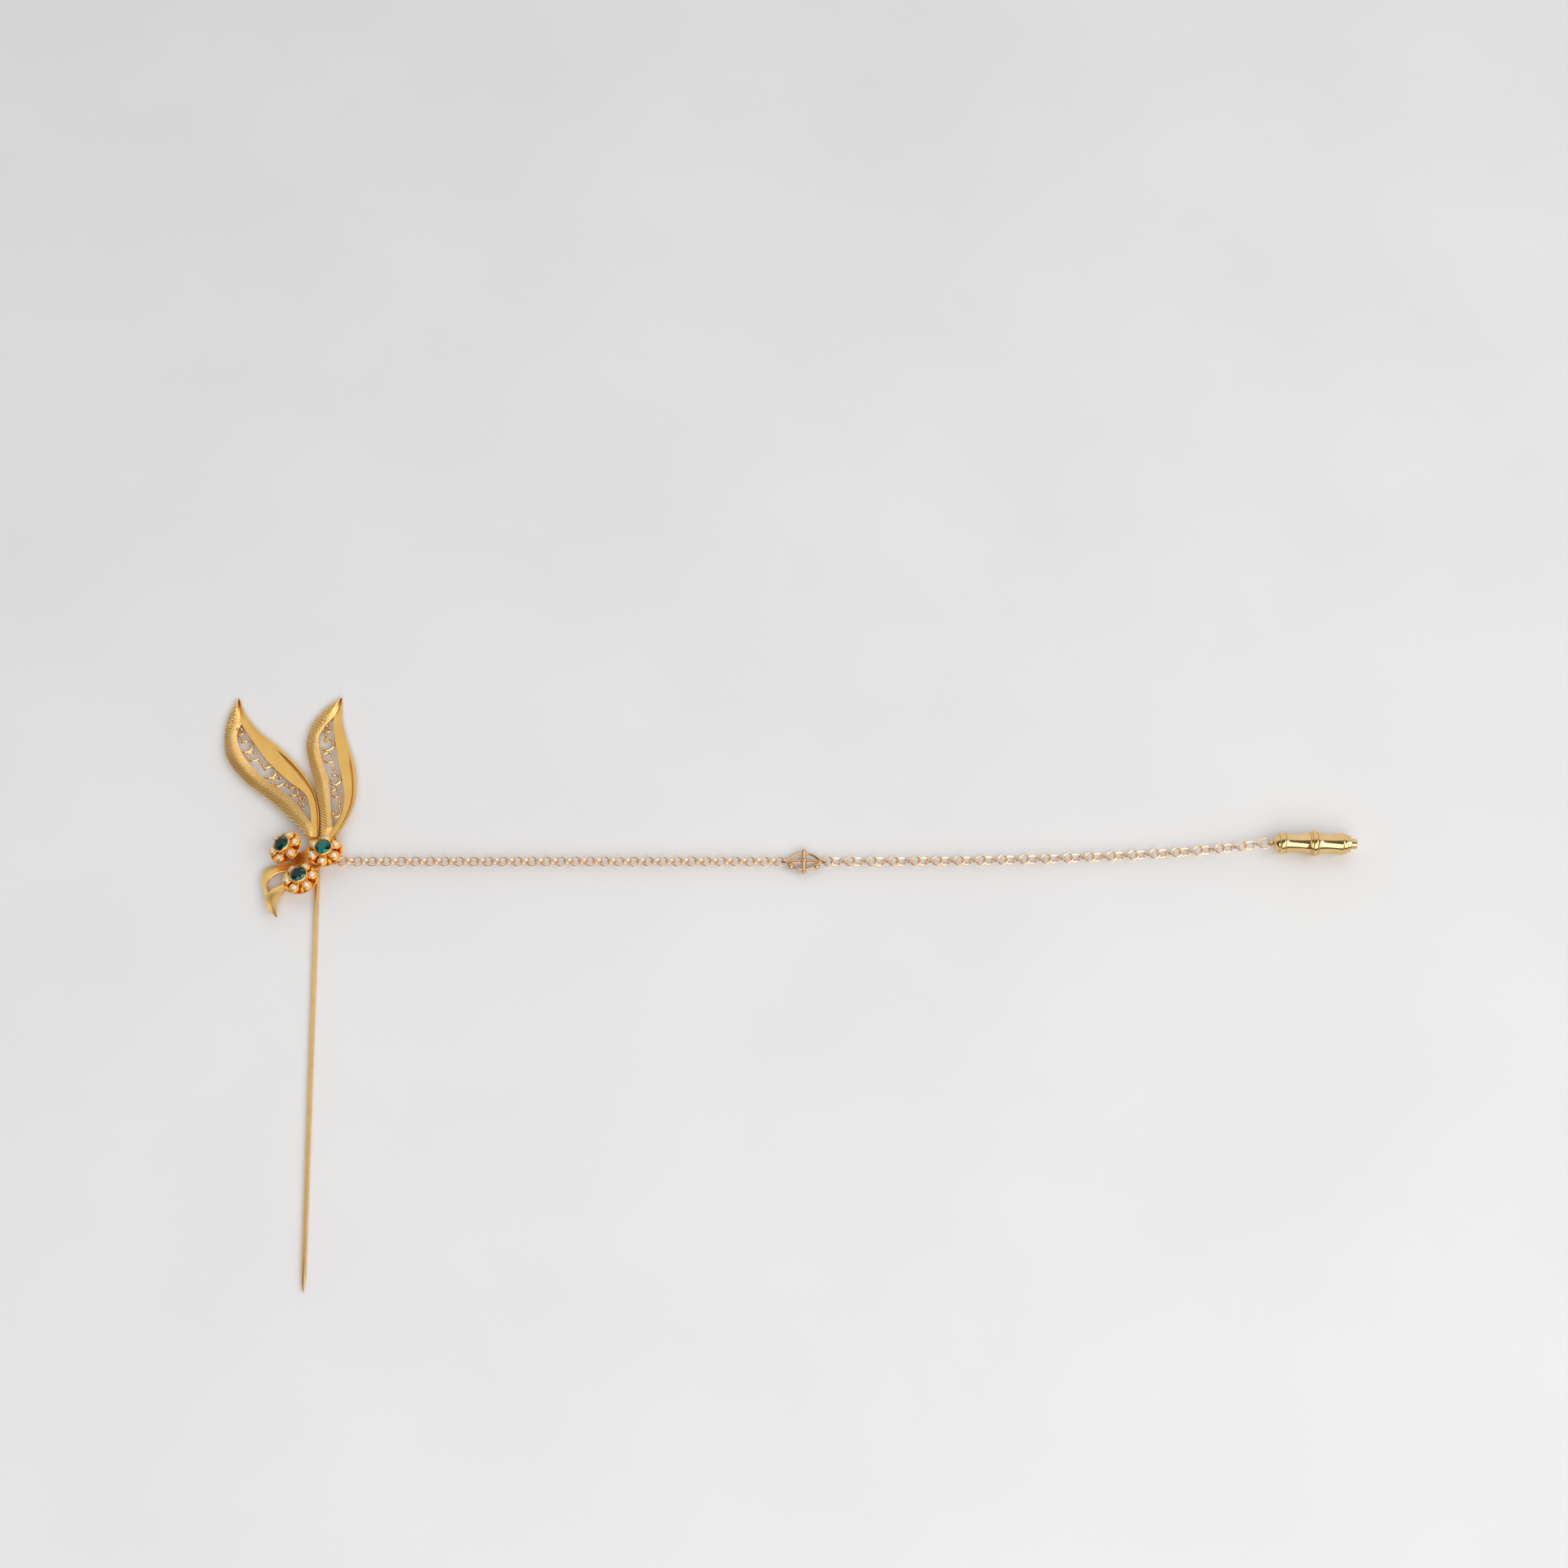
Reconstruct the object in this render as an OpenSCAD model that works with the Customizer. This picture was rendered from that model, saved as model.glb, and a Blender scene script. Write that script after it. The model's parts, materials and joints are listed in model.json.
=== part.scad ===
// Hat pin: two openwork leaves, three jewelled flowers and a ribbon on a straight pin,
// with a safety chain, an oval station and a bamboo-shaped ball clutch.
// Millimetres, +Z up, lying on its back. The origin is on the pin's axis where the shank leaves the head.
// The shank runs along -Y, the leaves point along +Y and the chain leaves along +X.

/* [Pin] */
// Diameter of the shank
shank_d = 0.9; // [0.8:0.05:1]
// Length of the straight shank below the head
shank_length = 82.2; // [60:0.1:110]
// Length of the ground point
point_length = 3.3; // [2:0.1:5]
// Length of the pin's upper end, soldered behind the flowers
root_length = 12.5; // [10:0.5:13]

/* [Leaves] */
// Thickness of the leaf metal
leaf_metal = 0.7; // [0.5:0.1:0.9]
// Extra height of the ridge along the ribbed side
ridge_rise = 0.4; // [0.2:0.1:0.6]
// Angle by which the leaves droop from the back plate to their tips
leaf_droop = 2; // [1:0.5:2.5]
// Diameter of the scroll wire
scroll_wire = 0.5; // [0.4:0.02:0.54]
// Diameter of a granule
granule_d = 0.7; // [0.6:0.05:0.75]

/* [Flowers] */
// Diameter of the dish behind the petals
dish_d = 7.5; // [7.2:0.1:7.6]
// Number of petals round a flower
petal_count = 6; // [5:1:6]
// Diameter of a petal setting
petal_d = 2.1; // [1.9:0.1:2.2]
// Radius of the circle of petals
petal_ring_r = 2.75; // [2.7:0.05:2.8]
// Diameter of a clear stone
clear_stone_d = 1.3; // [1.1:0.1:1.4]
// Diameter of a green centre stone
green_stone_d = 3.5; // [3.2:0.1:3.6]

/* [Ribbon] */
// Thickness of the ribbon metal
ribbon_metal = 0.5; // [0.4:0.1:0.7]

/* [Chain] */
// Diameter of the link wire
link_wire = 0.4; // [0.34:0.01:0.42]
// Distance from one link's centre to the next
link_pitch = 1.58; // [1.56:0.01:1.62]
// Links between the head and the station, an even number
first_links = 60; // [10:2:80]
// Links between the station and the clutch
second_links = 60; // [12:6:78]
// Turn of each link past the one before it in the twisted second stretch
link_twist = 60; // [60:30:90]
// Direction in which the chain leaves the head
chain_angle = -2.9; // [-10:0.1:10]

/* [Station] */
// Length of the pointed oval frame
oval_length = 7.4; // [7:0.1:8]
// Width of the pointed oval frame
oval_width = 3.8; // [3.4:0.1:4.2]

/* [Clutch] */
// Radius of the bamboo node, the clutch's largest ring
node_ring_r = 2.8; // [2.7:0.05:3]
// Direction in which the clutch lies
clutch_angle = -3.8; // [-10:0.1:10]
// Radius of the hole that takes the pin
clutch_bore_r = 0.5; // [0.46:0.01:0.52]

/* [Hidden] */
$fn = 48;

gold = [0.85, 0.65, 0.33];
deep_gold = [0.88, 0.58, 0.20];
pink_gold = [0.86, 0.68, 0.50];
pale_brass = [0.82, 0.74, 0.50];
steel = [0.75, 0.75, 0.75];
green_glass = [0.03, 0.33, 0.30];
clear_glass = [0.95, 0.93, 0.95];

// Heights. Everything rests on the plane that touches the pin's root.
root_r = shank_d / 2 + 0.05;
root_taper = 0.8;
floor_z = -root_r;
plate_bottom = root_r - 0.1;
plate_thickness = 0.5;
plate_top = plate_bottom + plate_thickness;
leaf_base_y = 14;
tip_r = 0.06;
neck_share = 0.8;

// ---- Curves in the plane ----

// One stretch of a smooth curve through b and c, with a and d as its neighbours
function smooth_point(a, b, c, d, t) =
    0.5 * (2 * b + (c - a) * t + (2 * a - 5 * b + 4 * c - d) * t * t + (3 * b - a - 3 * c + d) * t * t * t);

// A smooth curve through the points
function curve(points, steps = 5) =
    let (last = len(points) - 1)
    [
        for (i = [0 : last - 1], k = [0 : steps - 1])
            smooth_point(points[max(i - 1, 0)], points[i], points[i + 1], points[min(i + 2, last)], k / steps),
        points[last]
    ];

function reversed(list) = [for (i = [len(list) - 1 : -1 : 0]) list[i]];
function stretch(list, first, last) = [for (i = [first : last]) list[i]];

// Distances along a path, point by point
function distances(path) =
    let (last = len(path) - 1, steps = [for (i = [0 : last - 1]) norm(path[i + 1] - path[i])])
    [for (i = 0, d = 0; i <= last; d = i < last ? d + steps[i] : d, i = i + 1) d];

// The same path with evenly spaced points
function even(path, count) =
    let (
        d = distances(path),
        xs = [for (i = [0 : len(path) - 1]) [d[i], path[i].x]],
        ys = [for (i = [0 : len(path) - 1]) [d[i], path[i].y]],
        step = d[len(d) - 1] / count
    )
    [for (k = [0 : count]) [lookup(k * step, xs), lookup(k * step, ys)]];

function mix(a, b, f) = [for (i = [0 : len(a) - 1]) a[i] * (1 - f) + b[i] * f];

// ---- Leaves ----
// A leaf is four edges from its tip to its base: outer ribbed edge, slot's ribbed edge,
// slot's smooth edge and outer smooth edge. The two sides meet along a valley at the tip
// and along a seam at the base.

left_leaf = [
    [
        [-18.9, 49.7], [-20.8, 45.2], [-21.5, 40], [-20.6, 34.4], [-16.6, 28.8], [-10.4, 23.3], [-5.6, 18.4],
        [-2, 14]
    ],
    [[-18.9, 49.7], [-18.6, 46], [-18.1, 43]],
    [[-18.1, 43], [-18.9, 39.8], [-17.2, 35], [-12.9, 29.5], [-6.8, 24.3], [-3.5, 20.3], [-1.5, 17.5]],
    [[-18.1, 43], [-15.4, 38.7], [-11.5, 33], [-6.7, 27.9], [-3.2, 24.8], [-1.9, 21.5], [-1.5, 17.5]],
    [[-1.5, 17.5], [-1.1, 15.8], [-1, 14]],
    [[-18.9, 49.7], [-17.3, 45.6], [-13.9, 40.9], [-8.6, 36], [-3.6, 30], [-0.8, 24.6], [0.3, 19], [0.2, 14]]
];
right_leaf = [
    [[4.2, 48.7], [0.6, 45.8], [-2.2, 41.8], [-3.2, 37], [-2.3, 32], [-0.8, 26.2], [0.5, 20], [0.9, 14]],
    [[4.2, 48.7], [3.4, 46], [2.5, 43.9]],
    [[2.5, 43.9], [0.4, 41], [-0.7, 38.2], [0.2, 33.2], [1.9, 27.9], [2.6, 21.6], [3.2, 16]],
    [[2.5, 43.9], [2.7, 40.4], [3.6, 34.5], [5, 27.6], [5.6, 22.8], [4.8, 18.6], [3.2, 16]],
    [[3.2, 16], [2.7, 15], [2.3, 14]],
    [[4.2, 48.7], [4.3, 43.5], [5.4, 38.6], [7.3, 32.3], [8, 26.8], [7.6, 22], [6, 17.6], [3.9, 14]]
];

// Where the ridge lies between the outer edge (0) and the inner edge (1) of a ribbed side
ridge_band = [0.35, 0.65];

// The inner edge of a leaf's ribbed side (0) or smooth side (1): valley, slot edge and seam
function inner_path(leaf, side) =
    let (slot = curve(leaf[2 + side]), seam = curve(leaf[4]))
    concat(curve(leaf[1]), stretch(slot, 1, len(slot) - 1), stretch(seam, 1, len(seam) - 1));

// Leaf geometry is drawn flat above the back plate and then drooped about the leaf base
module drooped() {
    translate([0, leaf_base_y, plate_top])
        rotate([-leaf_droop, 0, 0])
            translate([0, -leaf_base_y, 0])
                children();
}

module ribbed_side(leaf) {
    outer = curve(leaf[0]);
    inner = inner_path(leaf, 0);
    samples = 40;
    ends = 3;
    outer_even = even(outer, samples);
    inner_even = even(inner, samples);
    ridge_outer = stretch(mix(outer_even, inner_even, ridge_band[0]), ends, samples - ends);
    ridge_inner = stretch(mix(outer_even, inner_even, ridge_band[1]), ends, samples - ends);
    color(gold)
        drooped() {
            linear_extrude(leaf_metal)
                polygon(concat(outer, reversed(stretch(inner, 1, len(inner) - 1))));
            linear_extrude(leaf_metal + ridge_rise)
                polygon(concat(ridge_outer, reversed(ridge_inner)));
        }
}

module smooth_side(leaf) {
    inner = inner_path(leaf, 1);
    color(gold)
        drooped()
            linear_extrude(leaf_metal)
                polygon(concat(curve(leaf[5]), reversed(stretch(inner, 1, len(inner) - 1))));
}

// Scrolls: [x, y, radius, angle of the first end, sweep]
left_scrolls = [
    [-18.3, 41.3, 0.95, 20, 300], [-16.75, 37.35, 1.4, 130, -270], [-14.95, 34.95, 1.3, 60, 265],
    [-11.15, 30.6, 1.4, 145, -270], [-9.3, 28.35, 1.3, 60, 270], [-5.74, 25.54, 1, 130, -250],
    [-3.85, 23.2, 0.8, 20, 220]
];
right_scrolls = [
    [1.15, 41.1, 1, 50, 260], [1.3, 36.85, 1.4, 115, -250], [1.95, 33.85, 1.4, 70, 235],
    [3.3, 28, 1.2, 110, -270], [3.85, 24.8, 1.05, 60, 250], [3.8, 19.8, 1, 165, 215]
];
// Wires that join the scrolls into one chain: [first end, second end]
left_necks = [
    [[-18.25, 40.35], [-17.5, 38.4]], [[-13.9, 34.2], [-12.25, 31.4]], [[-8.17, 27.7], [-6.35, 26.3]],
    [[-4.8, 24.6], [-4.2, 23.6]], [[-4.25, 22.5], [-3.25, 20.85]]
];
right_necks = [
    [[1.15, 40.1], [0.7, 38.1]], [[0.3, 35.86], [-0.6, 36]], [[2.75, 32.7], [2.9, 29.1]],
    [[3.4, 26.8], [3.95, 25.85]], [[4.52, 24], [4.45, 21.2]], [[4.45, 21.2], [4.74, 20.15]]
];
// Granules: [x, y]
left_granules = [
    [-18.75, 41.6], [-17.95, 41.6], [-17.95, 39.7], [-17.4, 38.55], [-14.5, 35.3], [-13.1, 32.9],
    [-12.2, 31.45], [-9.6, 29.1], [-8.7, 28.9], [-7.2, 26.95], [-6.2, 26.1], [-6, 24.75],
    [-4.8, 24.6], [-4.2, 23.6], [-3.2, 23.75], [-3.4, 22], [-3.25, 20.85]
];
right_granules = [
    [1.05, 41.4], [1.65, 40.9], [0.95, 39.15], [1, 37.55], [2.6, 33.6], [2.82, 30.6], [2.85, 29.4],
    [2.65, 27.95], [4.2, 25], [4.5, 23.4], [4.45, 22.2], [4.45, 21.2], [3.85, 20]
];

module scrolls(list, necks) {
    wire_z = leaf_metal / 2;
    color(gold)
        drooped()
            translate([0, 0, wire_z]) {
                for (s = list)
                    translate([s[0], s[1], 0])
                        rotate([0, 0, s[4] > 0 ? s[3] : s[3] + s[4]])
                            rotate_extrude(angle = abs(s[4]))
                                translate([s[2], 0])
                                    circle(d = scroll_wire);
                for (n = necks)
                    neck(n[0], n[1]);
            }
}

module neck(start, end) {
    run = end - start;
    translate([start.x, start.y, 0])
        rotate([0, 0, atan2(run.y, run.x)])
            rotate([0, 90, 0])
                cylinder(d = neck_share * scroll_wire, h = norm(run));
}

module granules(list) {
    color(gold)
        drooped()
            for (g = list)
                translate([g[0], g[1], leaf_metal])
                    sphere(d = granule_d);
}

// ---- Flowers ----
// Each flower: [x, y, height of its dish above the plate, lean towards -X, lean towards +Y,
// first petal's angle]
flowers = [
    [-6.2, 11.1, 1.3, 22, 8, 12],
    [2.0, 9.9, 1.0, 3, 8, 25],
    [-3.1, 3.8, 0.7, 5, 10, 8]
];
dish_metal = 0.3;
dish_rise = 0.8;
dish_flat = 0.45;
petal_base = 0.45;
petal_height = 1.3;
petal_foot = 0.6;
petal_flare = 0.45;
petal_shoulder = 0.3;
petal_lip = 0.2;
cup_wall = 0.45;
cup_depth = 0.9;
clear_seat = petal_base + petal_height - 0.15;
collar_wall = 0.25;
collar_r = green_stone_d / 2 + collar_wall;
collar_base = 0.3;
collar_floor = 0.8;
collar_lip = 0.12;
green_seat = 2.6;
green_sink = 0.3;
seat_step = 0.45;
post_r = 0.8;
post_sink = 0.2;

module at_flower(i) {
    f = flowers[i];
    translate([f[0], f[1], plate_top + f[2]])
        rotate([-f[4], -f[3], 0])
            children();
}

module flower_dish(i) {
    r = dish_d / 2;
    flat_r = r * dish_flat;
    color(deep_gold)
        at_flower(i)
            rotate_extrude()
                polygon([
                    [0, 0], [flat_r, 0], [r, dish_rise - dish_metal / 2], [r, dish_rise + dish_metal / 2],
                    [r - dish_metal, dish_rise + dish_metal / 2], [flat_r, dish_metal], [0, dish_metal]
                ]);
}

module each_petal(i) {
    for (k = [0 : petal_count - 1])
        rotate([0, 0, flowers[i][5] + k * 360 / petal_count])
            translate([petal_ring_r, 0, 0])
                children();
}

module flower_petals(i) {
    r = petal_d / 2;
    seat_r = clear_stone_d / 2;
    color(deep_gold)
        at_flower(i)
            difference() {
                each_petal(i)
                    translate([0, 0, petal_base])
                        rotate_extrude()
                            polygon([
                                [0, 0], [r * petal_foot, 0], [r, petal_flare],
                                [r, petal_height - petal_shoulder],
                                [r - petal_lip, petal_height], [seat_r, petal_height],
                                [seat_r, petal_height - cup_wall], [0, petal_height - cup_depth]
                            ]);
                cylinder(r = collar_r, h = 2 * green_seat);
            }
}

module flower_collar(i) {
    seat_r = green_stone_d / 2;
    rim = green_seat + green_sink;
    seat_floor = green_seat - 0.2;
    color(deep_gold)
        at_flower(i)
            rotate_extrude()
                polygon([
                    [0, collar_base], [collar_r, collar_base], [collar_r, rim - collar_lip],
                    [collar_r - collar_lip, rim], [seat_r, rim], [seat_r, seat_floor],
                    [seat_r - seat_step, seat_floor - seat_step], [0, collar_floor]
                ]);
}

// A round stone on its seat. The table and the girdle are shares of its radius.
stone_table = 0.57;
stone_girdle = 0.1;

module stone(r, crown, depth) {
    girdle = r * stone_girdle;
    rotate_extrude()
        polygon([[0, -depth], [r, 0], [r, girdle], [r * stone_table, girdle + crown], [0, girdle + crown]]);
}

module flower_green_stone(i) {
    color(green_glass)
        at_flower(i)
            translate([0, 0, green_seat])
                stone(green_stone_d / 2, 0.65, 0.5);
}

module flower_clear_stones(i) {
    color(clear_glass)
        at_flower(i)
            each_petal(i)
                translate([0, 0, clear_seat])
                    stone(clear_stone_d / 2, 0.28, 0.2);
}

// The post leans with its flower, and its foot sinks into the back plate
module flower_post(i) {
    post_length = flowers[i][2] + post_sink;
    color(deep_gold)
        at_flower(i)
            translate([0, 0, -post_length])
                cylinder(r = post_r, h = post_length);
}

// ---- Ribbon ----
loop_outer = [[-4.8, 8.7], [-8.4, 8.1], [-10.6, 7.5], [-11.7, 6.2], [-11.8, 4.2], [-11.3, 1.9], [-10.7, 0.9]];
loop_inner = [[-4.6, 6.4], [-7.4, 6.4], [-9.2, 5.7], [-10.4, 4.4], [-10.4, 3.1], [-10, 2.2], [-9.4, 1.5]];
tail_upper = [[-4.6, 4.0], [-7, 3.3], [-9.1, 2.4], [-10.5, 1.1], [-10.8, -0.5], [-9.9, -2.5], [-8.1, -4.4]];
tail_lower = [[-4.4, 2.2], [-6.4, 1.8], [-7.6, 0.6], [-8.3, -0.8], [-8.4, -2.2], [-8.1, -4.4]];

module ribbon_loop() {
    color(gold)
        translate([0, 0, plate_bottom])
            linear_extrude(ribbon_metal)
                polygon(concat(curve(loop_outer), reversed(curve(loop_inner))));
}

module ribbon_tail() {
    upper = curve(tail_upper);
    lower = curve(tail_lower);
    color(gold)
        translate([0, 0, plate_bottom + ribbon_metal])
            linear_extrude(ribbon_metal)
                polygon(concat(upper, reversed(stretch(lower, 0, len(lower) - 2))));
}

// ---- Back plate and pin ----
plate_lobe_r = 1.9;
tongue = [[-1.9, 14.5], [3.9, 15], [3.6, 9.5], [-3.8, 10.4], [-1.8, 12.4]];
anchor_lug = [[1.2, 8.6], [4, 7.8], [4.1, 9.2], [3, 10.6]];

module back_plate() {
    color(deep_gold)
        translate([0, 0, plate_bottom]) {
            for (f = flowers)
                translate([f[0], f[1], 0])
                    cylinder(r = plate_lobe_r, h = plate_thickness);
            for (outline = [[for (f = flowers) [f[0], f[1]]], tongue, anchor_lug])
                linear_extrude(plate_thickness)
                    polygon(outline);
        }
}

module pin_stem() {
    shank_r = shank_d / 2;
    point_start = shank_length + point_length;
    color(steel)
        rotate([90, 0, 0])
            rotate_extrude()
                polygon([
                    [0, -root_length], [root_r, -root_length], [root_r, -root_taper], [shank_r, 0],
                    [shank_r, shank_length], [tip_r, point_start], [0, point_start]
                ]);
}

// A flattened bead of solder on the pin's root, in the gap between two flowers
solder_at = [-0.3, 7];
solder_r = 0.6;

module pin_solder() {
    color(deep_gold)
        translate([solder_at.x, solder_at.y, root_r])
            difference() {
                sphere(r = solder_r);
                translate([0, 0, -solder_r - root_r / 2])
                    cube(2 * solder_r, center = true);
            }
}

// ---- Chain ----
// Rings hang in one another with a small gap. The distance between the centres of two linked rings:
ring_gap = 0.06;
function reach(r_a, wire_a, r_b, wire_b) = r_a + r_b - (wire_a + wire_b) / 2 - ring_gap;

link_r = (link_pitch + link_wire + ring_gap) / 2;
link_z = floor_z + link_r + link_wire / 2 + 0.04;
anchor_at = [5.6, 8.3, link_z];
eye_r = 0.55;
eye_wire = 0.4;
jump_r = 1.2;
jump_wire = 0.4;
eye_reach = reach(link_r, link_wire, eye_r, eye_wire);

// Places along the chain, from the anchor ring's centre
first_end = first_links * link_pitch;
station_x = first_end + eye_reach + eye_r + oval_length / 2;
second_start = 2 * station_x - first_end;
second_run = (second_links - 1) * link_pitch;
jump_x = second_start + second_run + reach(link_r, link_wire, jump_r, jump_wire);

// The second stretch drifts sideways and climbs to the clutch's eye near its end
clutch_z = floor_z + node_ring_r;
clutch_eye_drop = 0.4;
jump_rise = clutch_z - clutch_eye_drop - link_z;
drift = 3.6;
drift_power = 2.6;
climb_power = 12;
function share(x) = max(x - second_start, 0) / second_run;
function second_y(x) = drift * pow(share(x), drift_power);
function second_rise(x) = jump_rise * min(pow(share(x), climb_power), 1);

module ring(r, wire) {
    rotate_extrude()
        translate([r, 0])
            circle(d = wire);
}

module standing_ring(r, wire) {
    rotate([90, 0, 0])
        ring(r, wire);
}

// Everything on the chain is placed from the anchor ring's centre, with X along the chain
module along_chain() {
    translate(anchor_at)
        rotate([0, 0, chain_angle])
            children();
}

module chain_anchor_loop() {
    color(deep_gold)
        along_chain()
            translate([-eye_reach, 0, 0])
                standing_ring(eye_r, eye_wire);
}

module chain_anchor_ring() {
    color(pink_gold)
        along_chain()
            ring(link_r, link_wire);
}

// Links stand and lie by turns, and the last one lies flat for the station's eye
module chain_first_half() {
    color(pink_gold)
        along_chain()
            for (k = [1 : first_links])
                translate([k * link_pitch, 0, 0])
                    rotate([90 * k, 0, 0])
                        ring(link_r, link_wire);
}

module chain_second_half() {
    half = link_pitch / 2;
    color(pink_gold)
        along_chain()
            for (k = [0 : second_links - 1]) {
                x = second_start + k * link_pitch;
                yaw = atan((second_y(x + half) - second_y(x - half)) / link_pitch);
                climb = atan((second_rise(x + half) - second_rise(x - half)) / link_pitch);
                translate([x, second_y(x), second_rise(x)])
                    rotate([0, -climb, yaw])
                        rotate([link_twist * k, 0, 0])
                            ring(link_r, link_wire);
            }
}

// ---- Station ----
frame_wire = 0.55;
middle_wire = 0.4;
tip_collar_r = 0.36;
tip_collar_length = 0.5;
bead_r = 0.5;
lobe_r = 0.65;
lobe_at = [2.8, -1.14];
wrap_r = 0.45;
boss_r = 0.8;

module at_station() {
    along_chain()
        translate([station_x, 0, 0])
            children();
}

// A pointed oval of two bowed wires in a collar at each tip, with a straight wire through the middle
module station_frame() {
    half_length = oval_length / 2;
    half_width = oval_width / 2;
    arc_r = (half_length * half_length + half_width * half_width) / oval_width;
    half_angle = asin(half_length / arc_r);
    color(gold)
        at_station() {
            for (side = [0, 1])
                mirror([0, side, 0])
                    translate([0, half_width - arc_r, 0])
                        rotate([0, 0, 90 - half_angle])
                            rotate_extrude(angle = 2 * half_angle)
                                translate([arc_r, 0])
                                    circle(d = frame_wire);
            translate([-half_length, 0, 0])
                rotate([0, 90, 0])
                    cylinder(d = middle_wire, h = oval_length);
            for (side = [-1, 1])
                translate([side * half_length, 0, 0])
                    rotate([0, 90, 0])
                        cylinder(r = tip_collar_r, h = tip_collar_length, center = true);
        }
}

// The bar that wraps the middle from edge to edge, with a polished boss at its centre
module station_wrap() {
    wrap_length = oval_width + frame_wire;
    color(gold)
        at_station() {
            translate([0, wrap_length / 2, 0])
                rotate([90, 0, 0])
                    cylinder(r = wrap_r, h = wrap_length);
            sphere(r = boss_r);
        }
}

// Beads at the bar's two ends, and a lobe on the frame at each side of it
module station_beads() {
    color(gold)
        at_station() {
            for (side = [-1, 1])
                translate([0, side * (oval_width / 2 + frame_wire), 0])
                    sphere(r = bead_r);
            for (side = [-1, 1])
                translate([side * lobe_at.x, lobe_at.y, 0])
                    sphere(r = lobe_r);
        }
}

module station_eyes() {
    color(gold)
        at_station()
            for (side = [-1, 1])
                translate([side * (oval_length / 2 + eye_r), 0, 0])
                    standing_ring(eye_r, eye_wire);
}

// ---- Clutch ----
// Lengths along the clutch are measured from the rear end of its domed cap
dome_length = 1.3;
dome_r = 1.76;
inside_r = 1.5;
plug_end = 2.8;
barrel_end = 16.7;
hole_r = 1.22;
cone_start = 11.9;
cone_end = 15.4;
nose_r = 1.16;
nose_end = 18.1;
nose_start = 15.9;
cage_r = 0.98;
flange_start = 11;
flange_end = 11.5;
flange_r = 1.4;
ball_x = 13;
ball_r = 0.42;
ball_ring_r = 0.93;
ball_play = 0.04;
ball_count = 3;
clutch_bore_start = 13.9;
cage_bore_r = clutch_bore_r + 0.2;
bore_chamfer = 0.15;
clutch_eye_x = reach(jump_r, jump_wire, eye_r, eye_wire);
cap_x = clutch_eye_x + eye_r - 0.1;

// From the jump ring's centre, with X along the clutch
module at_jump_ring() {
    along_chain()
        translate([jump_x, second_y(jump_x), jump_rise])
            rotate([0, 0, clutch_angle - chain_angle])
                children();
}

// On the clutch's axis, with X along it from the rear end of the cap
module at_clutch() {
    at_jump_ring()
        translate([cap_x, 0, clutch_eye_drop])
            children();
}

// A profile of [distance along the clutch, radius] points, turned about the clutch's axis
module turned(profile) {
    rotate([90, 0, 90])
        rotate_extrude()
            polygon([for (p = profile) [p[1], p[0]]]);
}

// One bamboo joint: a waist between two shoulders, as a smooth dip
function waist(from, to, shoulder_a, waist_r, shoulder_b) =
    let (steps = 10, middle = (from + to) / 2, half = (to - from) / 2)
    [
        for (k = [0 : steps])
            let (x = from + (to - from) * k / steps, t = (x - middle) / half)
            [x, waist_r + ((t < 0 ? shoulder_a : shoulder_b) - waist_r) * t * t]
    ];

module clutch_jump_ring() {
    color(pink_gold)
        at_jump_ring()
            ring(jump_r, jump_wire);
}

module clutch_eye() {
    color(pale_brass)
        at_jump_ring()
            translate([clutch_eye_x, 0, 0])
                standing_ring(eye_r, eye_wire);
}

module clutch_end_cap() {
    dome_steps = 8;
    color(pale_brass)
        at_clutch()
            turned(concat(
                [for (k = [0 : dome_steps]) let (a = 90 * k / dome_steps)
                    [dome_length * (1 - cos(a)), dome_r * sin(a)]],
                [[dome_length, inside_r], [plug_end, inside_r], [plug_end, 0]]
            ));
}

// The barrel's outline from rear to nose, as [distance, radius]
rear_ring = [[dome_length, 2.2], [1.45, 2.35], [1.7, 2.43], [2.3, 2.43], [2.5, 2.3]];
rear_waist = waist(2.6, 8, 2.3, 1.97, 2.45);
node_ring = [
    [8.05, node_ring_r - 0.18], [8.3, node_ring_r - 0.05], [8.5, node_ring_r],
    [9.2, node_ring_r], [9.4, node_ring_r - 0.05], [9.65, node_ring_r - 0.18]
];
front_waist = waist(9.7, 14.9, 2.45, 2.1, 2.5);
front_ring = [[15.05, 2.45], [15.15, 2.28], [15.9, 2.2], [16, 1.95], [barrel_end, 1.85]];
inside = [[barrel_end, hole_r], [cone_end, hole_r], [cone_start, inside_r], [dome_length, inside_r]];

module clutch_barrel() {
    color(pale_brass)
        at_clutch()
            turned(concat(rear_ring, rear_waist, node_ring, front_waist, front_ring, inside));
}

module clutch_plunger() {
    color(pale_brass)
        at_clutch()
            difference() {
                turned([
                    [flange_start, cage_bore_r], [flange_start, flange_r], [flange_end, flange_r],
                    [flange_end, cage_r], [nose_start, cage_r], [nose_start, nose_r],
                    [nose_end - bore_chamfer, nose_r], [nose_end, nose_r - bore_chamfer],
                    [nose_end, clutch_bore_r + bore_chamfer], [nose_end - bore_chamfer, clutch_bore_r],
                    [clutch_bore_start, clutch_bore_r], [clutch_bore_start, cage_bore_r]
                ]);
                for (k = [0 : ball_count - 1])
                    translate([ball_x, 0, 0])
                        rotate([k * 360 / ball_count, 0, 0])
                            cylinder(r = ball_r + ball_play, h = 2 * cage_r);
            }
}

module clutch_balls() {
    color(steel)
        at_clutch()
            for (k = [0 : ball_count - 1])
                translate([ball_x, 0, 0])
                    rotate([k * 360 / ball_count, 0, 0])
                        translate([0, 0, ball_ring_r])
                            sphere(r = ball_r);
}

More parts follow.
